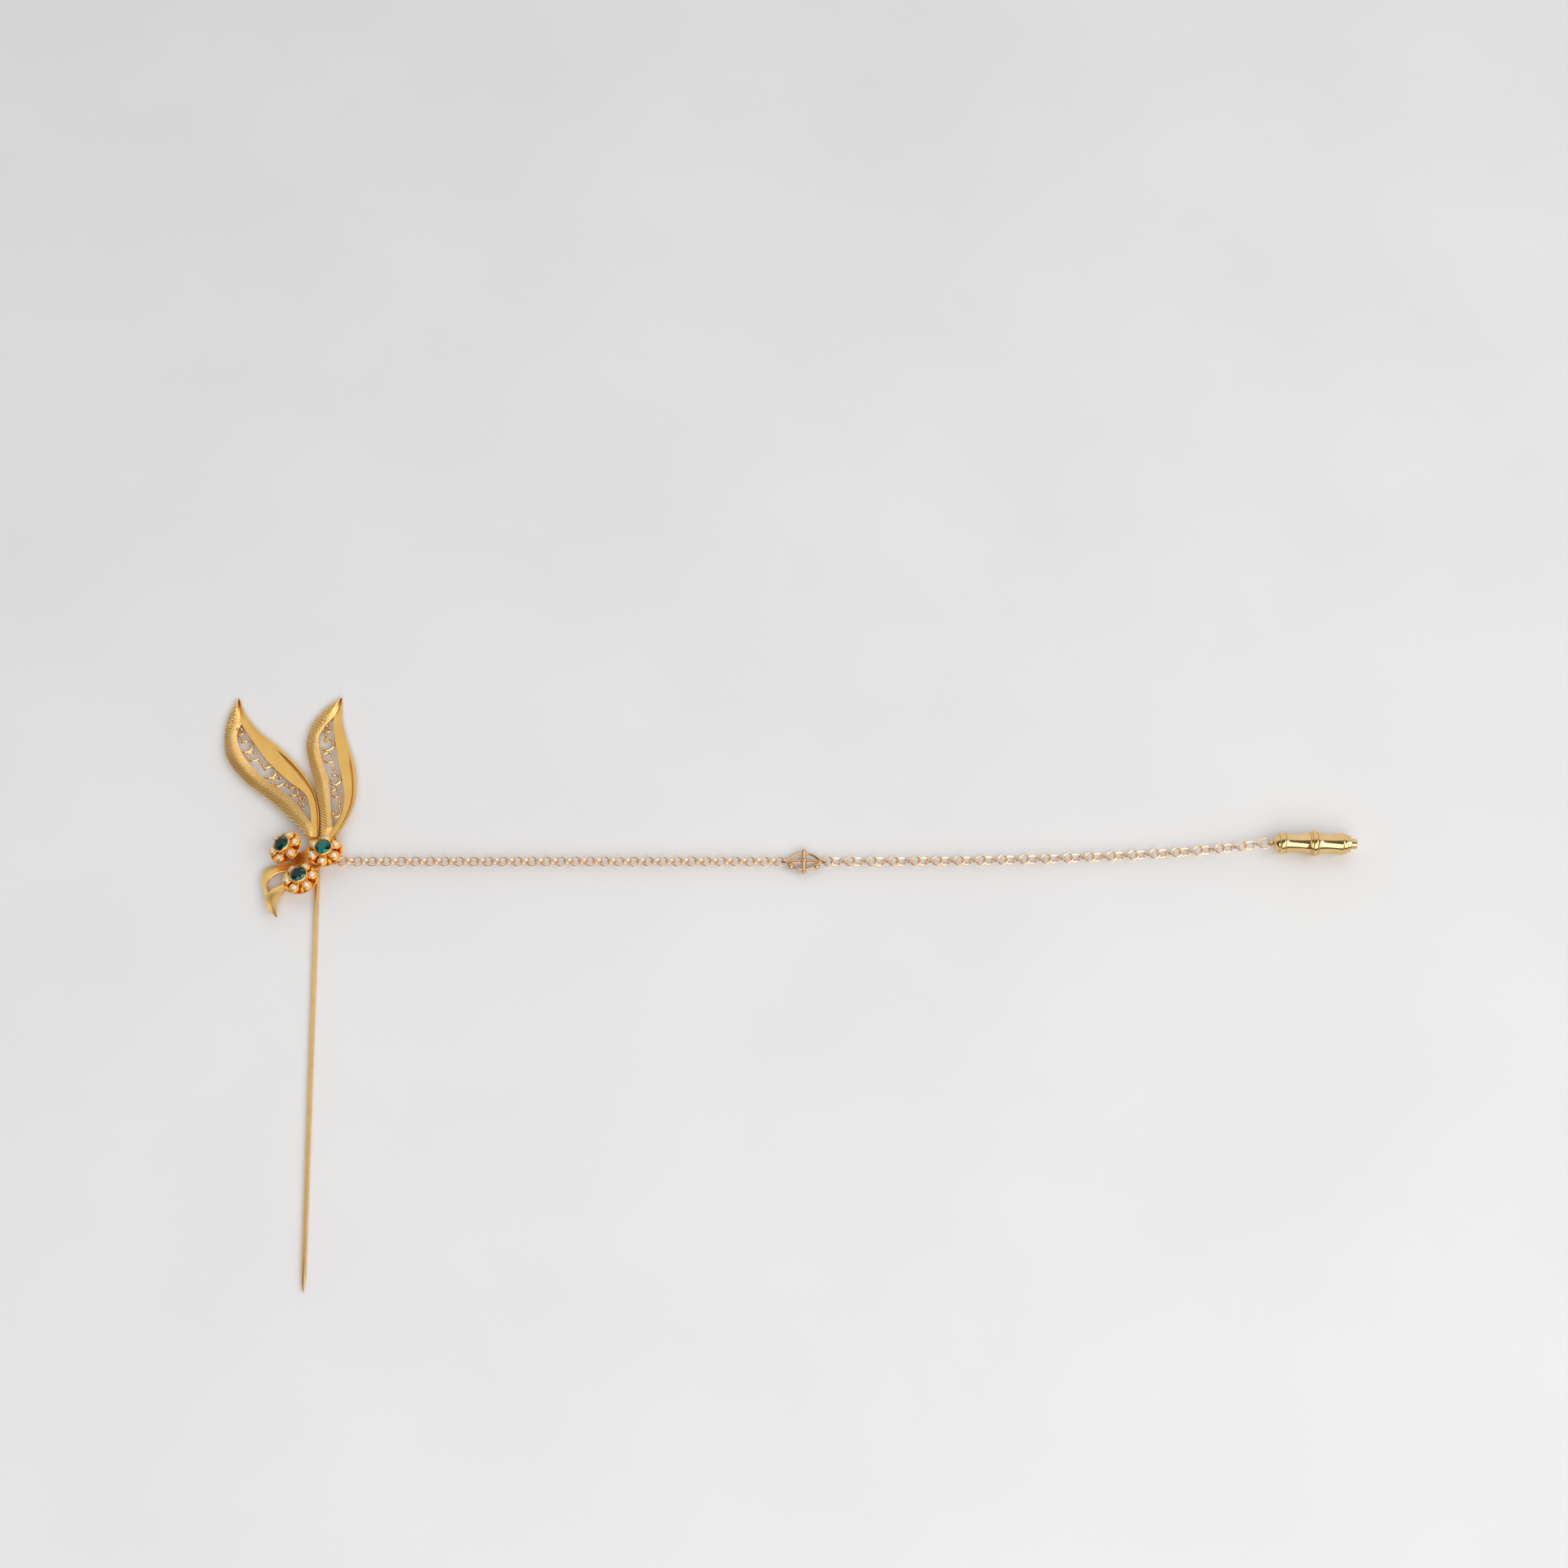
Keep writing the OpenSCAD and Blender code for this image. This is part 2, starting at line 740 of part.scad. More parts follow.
// The spring between the end cap's plug and the plunger's flange
spring_r = 1.1;
spring_wire_r = 0.11;
spring_turns = 8;
spring_steps = 14;
spring_sides = 6;

module clutch_spring() {
    start = plug_end + spring_wire_r;
    rise = flange_start - plug_end - 2 * spring_wire_r;
    rings = spring_turns * spring_steps;
    points = [
        for (i = [0 : rings], j = [0 : spring_sides - 1])
            let (
                turn = 360 * i / spring_steps,
                side = 360 * j / spring_sides,
                r = spring_r + spring_wire_r * cos(side)
            )
            [start + rise * i / rings + spring_wire_r * sin(side), r * cos(turn), r * sin(turn)]
    ];
    function corner(i, j) = i * spring_sides + j % spring_sides;
    walls = [
        for (i = [0 : rings - 1], j = [0 : spring_sides - 1])
            each [
                [corner(i, j), corner(i, j + 1), corner(i + 1, j + 1)],
                [corner(i, j), corner(i + 1, j + 1), corner(i + 1, j)]
            ]
    ];
    first_cap = [for (j = [spring_sides - 1 : -1 : 0]) corner(0, j)];
    last_cap = [for (j = [0 : spring_sides - 1]) corner(rings, j)];
    color(steel)
        at_clutch()
            polyhedron(points, concat([first_cap], walls, [last_cap]));
}

pin_stem();
pin_solder();
back_plate();
ribbed_side(left_leaf);  // left_leaf_ribbed_side
smooth_side(left_leaf);  // left_leaf_smooth_side
scrolls(left_scrolls, left_necks);  // left_leaf_scrolls
granules(left_granules);  // left_leaf_granules
ribbed_side(right_leaf);  // right_leaf_ribbed_side
smooth_side(right_leaf);  // right_leaf_smooth_side
scrolls(right_scrolls, right_necks);  // right_leaf_scrolls
granules(right_granules);  // right_leaf_granules
flower_dish(0);  // left_flower_dish
flower_petals(0);  // left_flower_petals
flower_collar(0);  // left_flower_collar
flower_green_stone(0);  // left_flower_green_stone
flower_clear_stones(0);  // left_flower_clear_stones
flower_post(0);  // left_flower_post
flower_dish(1);  // right_flower_dish
flower_petals(1);  // right_flower_petals
flower_collar(1);  // right_flower_collar
flower_green_stone(1);  // right_flower_green_stone
flower_clear_stones(1);  // right_flower_clear_stones
flower_post(1);  // right_flower_post
flower_dish(2);  // lower_flower_dish
flower_petals(2);  // lower_flower_petals
flower_collar(2);  // lower_flower_collar
flower_green_stone(2);  // lower_flower_green_stone
flower_clear_stones(2);  // lower_flower_clear_stones
flower_post(2);  // lower_flower_post
ribbon_loop();
ribbon_tail();
chain_anchor_loop();
chain_anchor_ring();
chain_first_half();
station_frame();
station_wrap();
station_beads();
station_eyes();
chain_second_half();
clutch_jump_ring();
clutch_end_cap();
clutch_eye();
clutch_barrel();
clutch_plunger();
clutch_balls();
clutch_spring();
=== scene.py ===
import json
import math
import random

import bmesh
import bpy
from mathutils import Matrix, Vector


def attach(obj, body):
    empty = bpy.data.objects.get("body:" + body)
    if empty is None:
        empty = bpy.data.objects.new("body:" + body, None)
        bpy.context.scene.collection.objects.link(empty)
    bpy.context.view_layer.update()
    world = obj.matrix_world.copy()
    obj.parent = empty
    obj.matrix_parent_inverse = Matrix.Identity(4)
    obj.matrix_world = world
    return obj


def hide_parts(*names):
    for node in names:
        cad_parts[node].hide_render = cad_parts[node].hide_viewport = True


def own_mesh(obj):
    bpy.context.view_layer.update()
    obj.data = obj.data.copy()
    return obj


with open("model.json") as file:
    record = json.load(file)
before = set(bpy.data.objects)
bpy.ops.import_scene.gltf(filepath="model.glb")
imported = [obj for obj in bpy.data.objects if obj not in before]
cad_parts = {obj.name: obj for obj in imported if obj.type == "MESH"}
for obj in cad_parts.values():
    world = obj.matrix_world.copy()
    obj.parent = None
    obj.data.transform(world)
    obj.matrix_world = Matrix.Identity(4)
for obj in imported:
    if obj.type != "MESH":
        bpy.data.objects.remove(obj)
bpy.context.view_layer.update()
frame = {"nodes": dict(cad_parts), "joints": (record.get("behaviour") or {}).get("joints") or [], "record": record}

# Shapes are worked out in millimetres in the row frame and become metres as they are made.
MM = 0.001
# Shorter than any length drawn here
TINY = 1e-6


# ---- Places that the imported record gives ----

def joint_row(name):
    return next(j for j in frame["joints"] if j["name"] == name)


def joint_place(name):
    return Vector(joint_row(name)["pos_m"]) / MM


def mount(name):
    return next(m for m in frame["record"]["mounts"] if m["name"] == name)


ANCHOR = joint_place("first_chain_swing")
FIRST_END = joint_place("station_swing")
SECOND_START = joint_place("second_chain_swing")
JUMP_RING = joint_place("clutch_swing")
SHANK = mount("pin_shank")["dims"]
BORE = mount("clutch_bore")

# Heights that the head's pieces are built from
PLATE_BOTTOM = 0.4
PLATE_TOP = 0.9
FLOOR_Z = -0.5


# ---- Camera ----

def aim(thing, target):
    thing.rotation_mode = "QUATERNION"
    thing.rotation_quaternion = (target - thing.location).to_track_quat("-Z", "Y")


def add_camera():
    camera = bpy.data.objects.new("camera", bpy.data.cameras.new("camera"))
    bpy.context.scene.collection.objects.link(camera)
    camera.data.lens = 55
    camera.data.sensor_width = 36
    camera.data.clip_start = 0.01
    camera.data.clip_end = 10
    camera.location = Vector((91.0, -201.1, 479.9)) * MM
    aim(camera, Vector((102.3, 22.6, -0.5)) * MM)
    bpy.context.scene.camera = camera


add_camera()


# ---- Curves in the plane ----

def smooth_point(a, b, c, d, t):
    """One point of a smooth stretch from b to c, with a and d as its neighbours."""
    square, cube = t * t, t * t * t
    return 0.5 * (2 * b + (c - a) * t + (2 * a - 5 * b + 4 * c - d) * square + (3 * b - a - 3 * c + d) * cube)


def curve(points, steps=12):
    p = [Vector(q) for q in points]
    last = len(p) - 1
    line = [
        smooth_point(p[max(i - 1, 0)], p[i], p[i + 1], p[min(i + 2, last)], k / steps)
        for i in range(last)
        for k in range(steps)
    ]
    return line + [p[last]]


def even(line, count):
    """The same line as count + 1 evenly spaced points."""
    lengths = [0.0]
    for a, b in zip(line, line[1:]):
        lengths.append(lengths[-1] + (b - a).length)
    spaced, i = [], 0
    for k in range(count + 1):
        wanted = lengths[-1] * k / count
        while i < len(line) - 2 and lengths[i + 1] < wanted:
            i += 1
        share = (wanted - lengths[i]) / max(lengths[i + 1] - lengths[i], TINY)
        spaced.append(line[i].lerp(line[i + 1], min(share, 1.0)))
    return spaced


def ease(low, high, x):
    """0 below low, 1 above high, and smooth between them."""
    t = min(max((x - low) / (high - low), 0.0), 1.0)
    return t * t * (3 - 2 * t)


# ---- Forms: each gives (vertices, faces) ----

def quads(rows, columns, wrap_rows=False, wrap_columns=False):
    """Faces of a grid whose vertices are listed row by row."""
    faces = []
    for i in range(rows if wrap_rows else rows - 1):
        for j in range(columns if wrap_columns else columns - 1):
            i_next, j_next = (i + 1) % rows, (j + 1) % columns
            faces.append((
                i * columns + j, i * columns + j_next,
                i_next * columns + j_next, i_next * columns + j,
            ))
    return faces


def lathe(profile, segments=48, warp=None):
    """A solid turned about Z from (radius, z) points, both ends on the axis or the profile closed.
    warp(angle, radius, z) may change a point's radius and height."""
    verts, rings = [], []
    for r, z in profile:
        if r < TINY:
            rings.append([len(verts)])
            verts.append(Vector((0, 0, z)))
            continue
        rings.append(list(range(len(verts), len(verts) + segments)))
        for k in range(segments):
            angle = 2 * math.pi * k / segments
            r_here, z_here = warp(angle, r, z) if warp else (r, z)
            verts.append(Vector((r_here * math.cos(angle), r_here * math.sin(angle), z_here)))
    pairs = list(zip(rings, rings[1:]))
    if len(rings[0]) > 1 and len(rings[-1]) > 1:
        pairs.append((rings[-1], rings[0]))
    faces = []
    for a, b in pairs:
        for k in range(segments):
            following = (k + 1) % segments
            around = [a[k % len(a)], a[following % len(a)], b[following % len(b)], b[k % len(b)]]
            face = list(dict.fromkeys(around))
            if len(face) > 2:
                faces.append(tuple(face))
    return verts, faces


# Segments and rings of the smallest balls
BEAD_MESH = (10, 7)


def ball(centre, r, segments=14, rings=9):
    profile = []
    for k in range(rings + 1):
        angle = math.pi * k / rings
        radius = 0.0 if k in (0, rings) else r * math.sin(angle)
        profile.append((radius, -r * math.cos(angle)))
    verts, faces = lathe(profile, segments)
    return [v + Vector(centre) for v in verts], faces


# Where the rings of a wire's domed end lie, in degrees above its last full section
DOME_ANGLES = (80, 55, 28)


def wire(line, radius, sides=10):
    """A round wire along a line that is flat or nearly so. Its ends are domed."""
    line = [Vector(p).to_3d() for p in line]
    up = Vector((0, 0, 1))
    last = len(line) - 1
    stations = []
    for i, p in enumerate(line):
        along = line[min(i + 1, last)] - line[max(i - 1, 0)]
        stations.append((p, along.normalized(), radius))
    dome = [math.radians(a) for a in DOME_ANGLES]
    start, start_along, _ = stations[0]
    end, end_along, _ = stations[-1]
    front = [(start - start_along * radius * math.sin(a), start_along, radius * math.cos(a)) for a in dome]
    back = [(end + end_along * radius * math.sin(a), end_along, radius * math.cos(a)) for a in dome]
    stations = front + stations + back[::-1]
    verts = []
    for p, along, r in stations:
        side = up.cross(along).normalized()
        for k in range(sides):
            angle = 2 * math.pi * k / sides
            verts.append(p + side * (r * math.cos(angle)) + up * (r * math.sin(angle)))
    faces = quads(len(stations), sides, wrap_columns=True)
    faces.append(tuple(range(sides)))
    faces.append(tuple(range(len(verts) - sides, len(verts))))
    return verts, faces


def plate(outer, inner, across, surface, hollow=0.0):
    """A closed plate between two lines of as many points. surface(u, v, point) gives how far a point
    of the upper face moves outwards and its height; hollow is how far the back is hollowed."""
    rows = len(outer)
    below = 4
    verts = []
    for i in range(rows):
        u = i / (rows - 1)
        a, b = outer[i], inner[i]
        outwards = (a - b).normalized()
        for k in range(across + 1):
            v = k / across
            p = a.lerp(b, v)
            shift, height = surface(u, v, p)
            verts.append((p + outwards * shift).to_3d() + Vector((0, 0, height)))
        for k in range(below + 1):
            v = 1 - k / below
            p = a.lerp(b, v)
            depth = hollow * math.sin(math.pi * v) * math.sin(math.pi * u) ** 0.5 if 0 < k < below else 0.0
            verts.append(p.to_3d() + Vector((0, 0, depth)))
    columns = across + below + 2
    faces = quads(rows, columns, wrap_columns=True)
    faces.append(tuple(range(columns)))
    faces.append(tuple(range(len(verts) - columns, len(verts))))
    return verts, faces


# How far a stone's middle corners stand out, as a share of its radius, and up, as a share of its crown
STONE_SHOULDER_OUT = 0.04
STONE_SHOULDER_UP = 0.52
STONE_MAINS = 8


def brilliant(r, table_r, girdle, crown, depth):
    """A round stone cut with eight-fold facets, its girdle's lower edge at height 0."""
    middle_r = (r + table_r) / 2 + STONE_SHOULDER_OUT * r
    middle_z = girdle + crown * STONE_SHOULDER_UP
    girdle_corners, main = 2 * STONE_MAINS, 360 / STONE_MAINS
    verts = [Vector((0, 0, -depth))]

    def put(radius, degrees, z):
        angle = math.radians(degrees)
        verts.append(Vector((radius * math.cos(angle), radius * math.sin(angle), z)))
        return len(verts) - 1

    lower = [put(r, main / 2 * k, 0) for k in range(girdle_corners)]
    upper = [put(r, main / 2 * k, girdle) for k in range(girdle_corners)]
    middle = [put(middle_r, main * k + main / 2, middle_z) for k in range(STONE_MAINS)]
    table = [put(table_r, main * k, girdle + crown) for k in range(STONE_MAINS)]
    faces = [tuple(table)]
    for k in range(girdle_corners):
        following = (k + 1) % girdle_corners
        faces.append((lower[k], lower[following], upper[following], upper[k]))
        faces.append((0, lower[following], lower[k]))
    for k in range(STONE_MAINS):
        following = (k + 1) % STONE_MAINS
        faces.append((table[following], table[k], middle[k]))
        faces.append((table[k], middle[k - 1], upper[2 * k], middle[k]))
        faces.append((middle[k], upper[2 * k], upper[2 * k + 1]))
        faces.append((middle[k], upper[2 * k + 1], upper[(2 * k + 2) % girdle_corners]))
    return verts, faces


class Shape:
    """Vertices and faces gathered from several forms."""

    def __init__(self):
        self.verts = []
        self.faces = []

    def add(self, form, place=None):
        verts, faces = form
        start = len(self.verts)
        self.verts += [place @ Vector(v) for v in verts] if place else [Vector(v) for v in verts]
        self.faces += [tuple(start + i for i in face) for face in faces]
        return self


def make(name, shape, material, body, replaced=(), sharp_angle=35, flat=False, glint_seed=None):
    """Makes a piece from a shape in millimetres. tones seeds a painted glint, a random lighter or darker shade,
    for each face of a cut stone.
    """
    mesh = bpy.data.meshes.new(name)
    mesh.from_pydata([v * MM for v in shape.verts], [], shape.faces)
    work = bmesh.new()
    work.from_mesh(mesh)
    bmesh.ops.recalc_face_normals(work, faces=work.faces)
    work.to_mesh(mesh)
    work.free()
    if not flat:
        mesh.shade_smooth()
        mesh.set_sharp_from_angle(angle=math.radians(sharp_angle))
    if glint_seed is not None:
        draw = random.Random(glint_seed)
        facet_glints = mesh.attributes.new("facet_tone", "FLOAT", "FACE")
        facet_glints.data.foreach_set("value", [draw.random() for _ in mesh.polygons])
    mesh.materials.append(material["shader"])
    piece = bpy.data.objects.new(name, mesh)
    bpy.context.scene.collection.objects.link(piece)
    if replaced:
        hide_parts(*replaced)
    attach(piece, body)
    return piece


# ---- Materials ----

def node(tree, kind, **values):
    """A shader node with its properties and its inputs' values set by name."""
    made = tree.nodes.new(kind)
    for name, value in values.items():
        label = name.replace("_", " ").title()
        if label in made.inputs:
            made.inputs[label].default_value = value
        else:
            setattr(made, name, value)
    return made


def start_material(name):
    shader = bpy.data.materials.new(name)
    shader.use_nodes = True
    return shader, shader.node_tree, shader.node_tree.nodes["Principled BSDF"]


def noise_at(tree, size_mm, detail=3.0, stretch=(1, 1, 1)):
    """Noise whose features are about size_mm across, stretched along the object's axes."""
    place = tree.nodes.new("ShaderNodeTexCoord")
    scaling = tree.nodes.new("ShaderNodeMapping")
    scaling.inputs["Scale"].default_value = stretch
    tree.links.new(place.outputs["Object"], scaling.inputs["Vector"])
    noise = node(tree, "ShaderNodeTexNoise", scale=1 / (size_mm * MM), detail=detail)
    tree.links.new(scaling.outputs["Vector"], noise.inputs["Vector"])
    return noise


def blend_colours(tree, factor, low, high):
    mix = tree.nodes.new("ShaderNodeMix")
    mix.data_type = "RGBA"
    colour_inputs = [s for s in mix.inputs if s.type == "RGBA"]
    for socket, value in zip(colour_inputs, (low, high)):
        if isinstance(value, bpy.types.NodeSocket):
            tree.links.new(value, socket)
        else:
            socket.default_value = (*value, 1)
    tree.links.new(factor, mix.inputs["Factor"])
    return next(s for s in mix.outputs if s.type == "RGBA")


def ranged(tree, value, low, high, from_low=0.3, from_high=0.7):
    spread = node(tree, "ShaderNodeMapRange", from_min=from_low, from_max=from_high, to_min=low, to_max=high)
    tree.links.new(value, spread.inputs["Value"])
    return spread.outputs["Result"]


# How far across the patches of fresh and worn plating are
PATCH_MM = 3.5
# Open sky that a point sees, from deep in a crevice to in the open, over which the painted crevice shade fades out
CREVICE_SKY, OPEN_SKY = 0.25, 0.85
# Roughness in the grain's low and high places, as shares of the metal's own
SMOOTH_SHARE, ROUGH_SHARE = 0.75, 1.3


def metal(name, colour, worn, crevice_shade, rough, grain_mm=0.12, grain_height=0.004, crevice_shade_mm=0.8,
          stretch=(1, 1, 1)):
    """Polished or satin metal: its colour drifts between fresh and worn, is darkened in crevices with painted
    shade, and its fine grain changes its roughness and relief."""
    shader, tree, principled = start_material(name)
    principled.inputs["Metallic"].default_value = 1
    patches = noise_at(tree, PATCH_MM)
    grain = noise_at(tree, grain_mm, detail=4.0, stretch=stretch)
    surface = blend_colours(tree, ranged(tree, patches.outputs["Fac"], 0, 1), colour, worn)
    # Painted shade: the base colour blends towards the crevice colour where ambient occlusion finds little open
    # sky
    depth = node(tree, "ShaderNodeAmbientOcclusion", distance=crevice_shade_mm * MM, samples=6)
    shade = ranged(tree, depth.outputs["AO"], 1, 0, CREVICE_SKY, OPEN_SKY)
    tree.links.new(blend_colours(tree, shade, surface, crevice_shade), principled.inputs["Base Color"])
    roughness = ranged(tree, grain.outputs["Fac"], rough * SMOOTH_SHARE, rough * ROUGH_SHARE)
    tree.links.new(roughness, principled.inputs["Roughness"])
    bump = node(tree, "ShaderNodeBump", strength=1.0, distance=grain_height * MM)
    tree.links.new(grain.outputs["Fac"], bump.inputs["Height"])
    tree.links.new(bump.outputs["Normal"], principled.inputs["Normal"])
    return {"shader": shader, "slot": name}


RUB_MM = 0.25
CLOUD_MM = 1.2
CLOUD_VEIL = 0.35
GLASS_IOR = 1.56
GLASS_SPECULAR = 0.25
GLASS_ROUGHNESS = (0.04, 0.12)
COAT_WEIGHT = 0.3
COAT_ROUGHNESS = 0.03


def gem(name, dark, light, metallic, first_lit):
    """Foiled cut glass: each facet has its own painted glint, a random lighter or darker shade that stands in for
    light inside the stone, under a hard clear coat with faint rubs.
    first_lit is the facet's painted glint value, from 0 to 1, above which a facet starts to lighten."""
    shader, tree, principled = start_material(name)
    glint = node(tree, "ShaderNodeAttribute", attribute_name="facet_tone")
    rubs = noise_at(tree, RUB_MM)
    clouds = noise_at(tree, CLOUD_MM)
    # Painted glints: each facet's random value blends it from the dark to the light colour
    facet_glints = blend_colours(tree, ranged(tree, glint.outputs["Fac"], 0, 1, first_lit, 1.0), dark, light)
    veiled = blend_colours(tree, ranged(tree, clouds.outputs["Fac"], 0, CLOUD_VEIL), facet_glints, dark)
    tree.links.new(veiled, principled.inputs["Base Color"])
    tree.links.new(ranged(tree, rubs.outputs["Fac"], *GLASS_ROUGHNESS), principled.inputs["Roughness"])
    principled.inputs["Metallic"].default_value = metallic
    principled.inputs["IOR"].default_value = GLASS_IOR
    principled.inputs["Specular IOR Level"].default_value = GLASS_SPECULAR
    principled.inputs["Coat Weight"].default_value = COAT_WEIGHT
    principled.inputs["Coat Roughness"].default_value = COAT_ROUGHNESS
    return {"shader": shader, "slot": name}


# Each metal: fresh colour, worn colour, colour of the painted shade in crevices, roughness
PIN_GOLD = metal("pin_gold", (0.94, 0.60, 0.23), (0.86, 0.52, 0.18), (0.50, 0.21, 0.05), 0.23,
                 grain_mm=0.10, grain_height=0.003, crevice_shade_mm=0.5, stretch=(6, 0.15, 6))
SOLDER = metal("solder_gold", (0.88, 0.48, 0.13), (0.74, 0.36, 0.08), (0.42, 0.14, 0.02), 0.3,
               grain_mm=0.3, grain_height=0.03)
RIBBED = metal("ribbed_gold", (1.0, 0.71, 0.30), (0.96, 0.63, 0.23), (0.82, 0.44, 0.12), 0.34,
               crevice_shade_mm=0.35)
SATIN = metal("satin_gold", (0.92, 0.56, 0.165), (0.86, 0.49, 0.125), (0.50, 0.20, 0.03), 0.30,
              grain_mm=0.08, grain_height=0.003)
WIRE = metal("wire_gold", (0.90, 0.60, 0.26), (0.80, 0.49, 0.18), (0.42, 0.17, 0.03), 0.17)
FLOWER = metal("flower_gold", (1.0, 0.62, 0.20), (0.95, 0.53, 0.13), (0.84, 0.40, 0.07), 0.24,
               crevice_shade_mm=0.4)
RIBBON = metal("ribbon_gold", (0.99, 0.66, 0.25), (0.94, 0.59, 0.20), (0.60, 0.25, 0.04), 0.36)
CHAIN = metal("chain_gold", (1.0, 0.75, 0.50), (0.93, 0.65, 0.41), (0.58, 0.31, 0.15), 0.22)
# The station's very dark crevice colour, reaching far, paints deep shade inside its open frame
STATION = metal("station_gold", (0.86, 0.56, 0.30), (0.74, 0.45, 0.22), (0.20, 0.07, 0.03), 0.16,
                crevice_shade_mm=1.8)
BRASS = metal("clutch_brass", (0.88, 0.62, 0.29), (0.80, 0.53, 0.22), (0.32, 0.17, 0.04), 0.09,
              grain_mm=0.10, grain_height=0.002, crevice_shade_mm=0.6)
STEEL = metal("steel", (0.62, 0.61, 0.60), (0.50, 0.49, 0.47), (0.15, 0.13, 0.11), 0.25)
# Dark and light facet colours of the painted glints
GREEN = gem("green_stone", (0.0003, 0.014, 0.013), (0.004, 0.34, 0.27), metallic=0.2, first_lit=0.45)
CLEAR = gem("clear_stone", (0.86, 0.76, 0.70), (1.0, 0.99, 0.97), metallic=0.08, first_lit=0.2)


# ---- Chain: rings one through the next, as two free lengths ----

LINK_WIRE = 0.4
LINK_PITCH = 1.58
LINK_GAP = 0.06
LINK_R = (LINK_PITCH + LINK_WIRE + LINK_GAP) / 2
FIRST_LINKS = 60
SECOND_LINKS = 60
# Degrees from one link to the next about the chain's line
SECOND_TWIST = 60
# How far the second length has drifted sideways at its end
DRIFT = 3.6
DRIFT_POWER = 2.6
CLIMB_POWER = 12
LINK_STEPS = 26
LINK_SIDES = 8
# The solder on a link's joint: how much it thickens the wire, and how short it is
JOINT_LUMP = 0.10
JOINT_SHARPNESS = 40

chain_direction = (FIRST_END - ANCHOR).normalized()
chain_turn = math.atan2(chain_direction.y, chain_direction.x)
second_run = (SECOND_LINKS - 1) * LINK_PITCH
chain_rise = JUMP_RING.z - SECOND_START.z


def along_chain(start, x, y=0.0, z=0.0):
    return start + Matrix.Rotation(chain_turn, 3, "Z") @ Vector((x, y, z))


def second_place(x):
    """The second length's line, x along it from its first link: it drifts sideways, and rises at its end."""
    share = min(max(x / second_run, 0.0), 1.0)
    return Vector((x, DRIFT * share ** DRIFT_POWER, chain_rise * share ** CLIMB_POWER))


def link_form(seed):
    """A link: a ring of round wire, a little thicker at its soldered joint."""
    draw = random.Random(seed)
    joint = draw.uniform(0, 2 * math.pi)
    verts = []
    for i in range(LINK_STEPS):
        a = 2 * math.pi * i / LINK_STEPS
        lump = 1 + JOINT_LUMP * math.exp(-((math.cos(a - joint) - 1) * JOINT_SHARPNESS) ** 2)
        for k in range(LINK_SIDES):
            b = 2 * math.pi * k / LINK_SIDES
            thickness = LINK_WIRE / 2 * lump
            radius = LINK_R + thickness * math.cos(b)
            verts.append(Vector((radius * math.cos(a), radius * math.sin(a), thickness * math.sin(b))))
    return verts, quads(LINK_STEPS, LINK_SIDES, wrap_rows=True, wrap_columns=True)


def add_chain(name, body, node_name, links):
    shape = Shape()
    for seed, (place, turn) in enumerate(links):
        shape.add(link_form(seed), Matrix.Translation(place) @ turn.to_4x4())
    piece = make(name, shape, CHAIN, body, (node_name,))
    return piece


def add_first_chain():
    links = []
    for k in range(1, FIRST_LINKS + 1):
        turn = Matrix.Rotation(chain_turn, 3, "Z") @ Matrix.Rotation(math.radians(90 * k), 3, "X")
        links.append((along_chain(ANCHOR, k * LINK_PITCH), turn))
    path = [along_chain(ANCHOR, LINK_PITCH * (k + 0.5)) for k in range(FIRST_LINKS)]
    path.append(along_chain(ANCHOR, LINK_PITCH * FIRST_LINKS + LINK_R))
    return add_chain("chain_near_length", "first_chain", "chain_first_half", links)


def add_second_chain():
    links, path = [], []
    for k in range(SECOND_LINKS):
        x = k * LINK_PITCH
        ahead = second_place(x + LINK_PITCH / 2) - second_place(x - LINK_PITCH / 2)
        yaw, climb = math.atan(ahead.y / LINK_PITCH), math.atan(ahead.z / LINK_PITCH)
        turn = (
            Matrix.Rotation(chain_turn, 3, "Z")
            @ Matrix.Rotation(yaw, 3, "Z")
            @ Matrix.Rotation(-climb, 3, "Y")
            @ Matrix.Rotation(math.radians(SECOND_TWIST * k), 3, "X")
        )
        place = along_chain(SECOND_START, *second_place(x))
        links.append((place, turn))
        path.append(place)
    return add_chain("chain_far_length", "second_chain", "chain_second_half", links)


add_first_chain()
add_second_chain()


# ---- Leaves: outer ribbed edge, valley, slot's ribbed edge, slot's smooth edge, seam, outer smooth edge ----

LEAF_BASE_Y = 14
LEAF_DROOP = 2
LEAF_METAL = 0.7
RIB_PITCH = 0.5

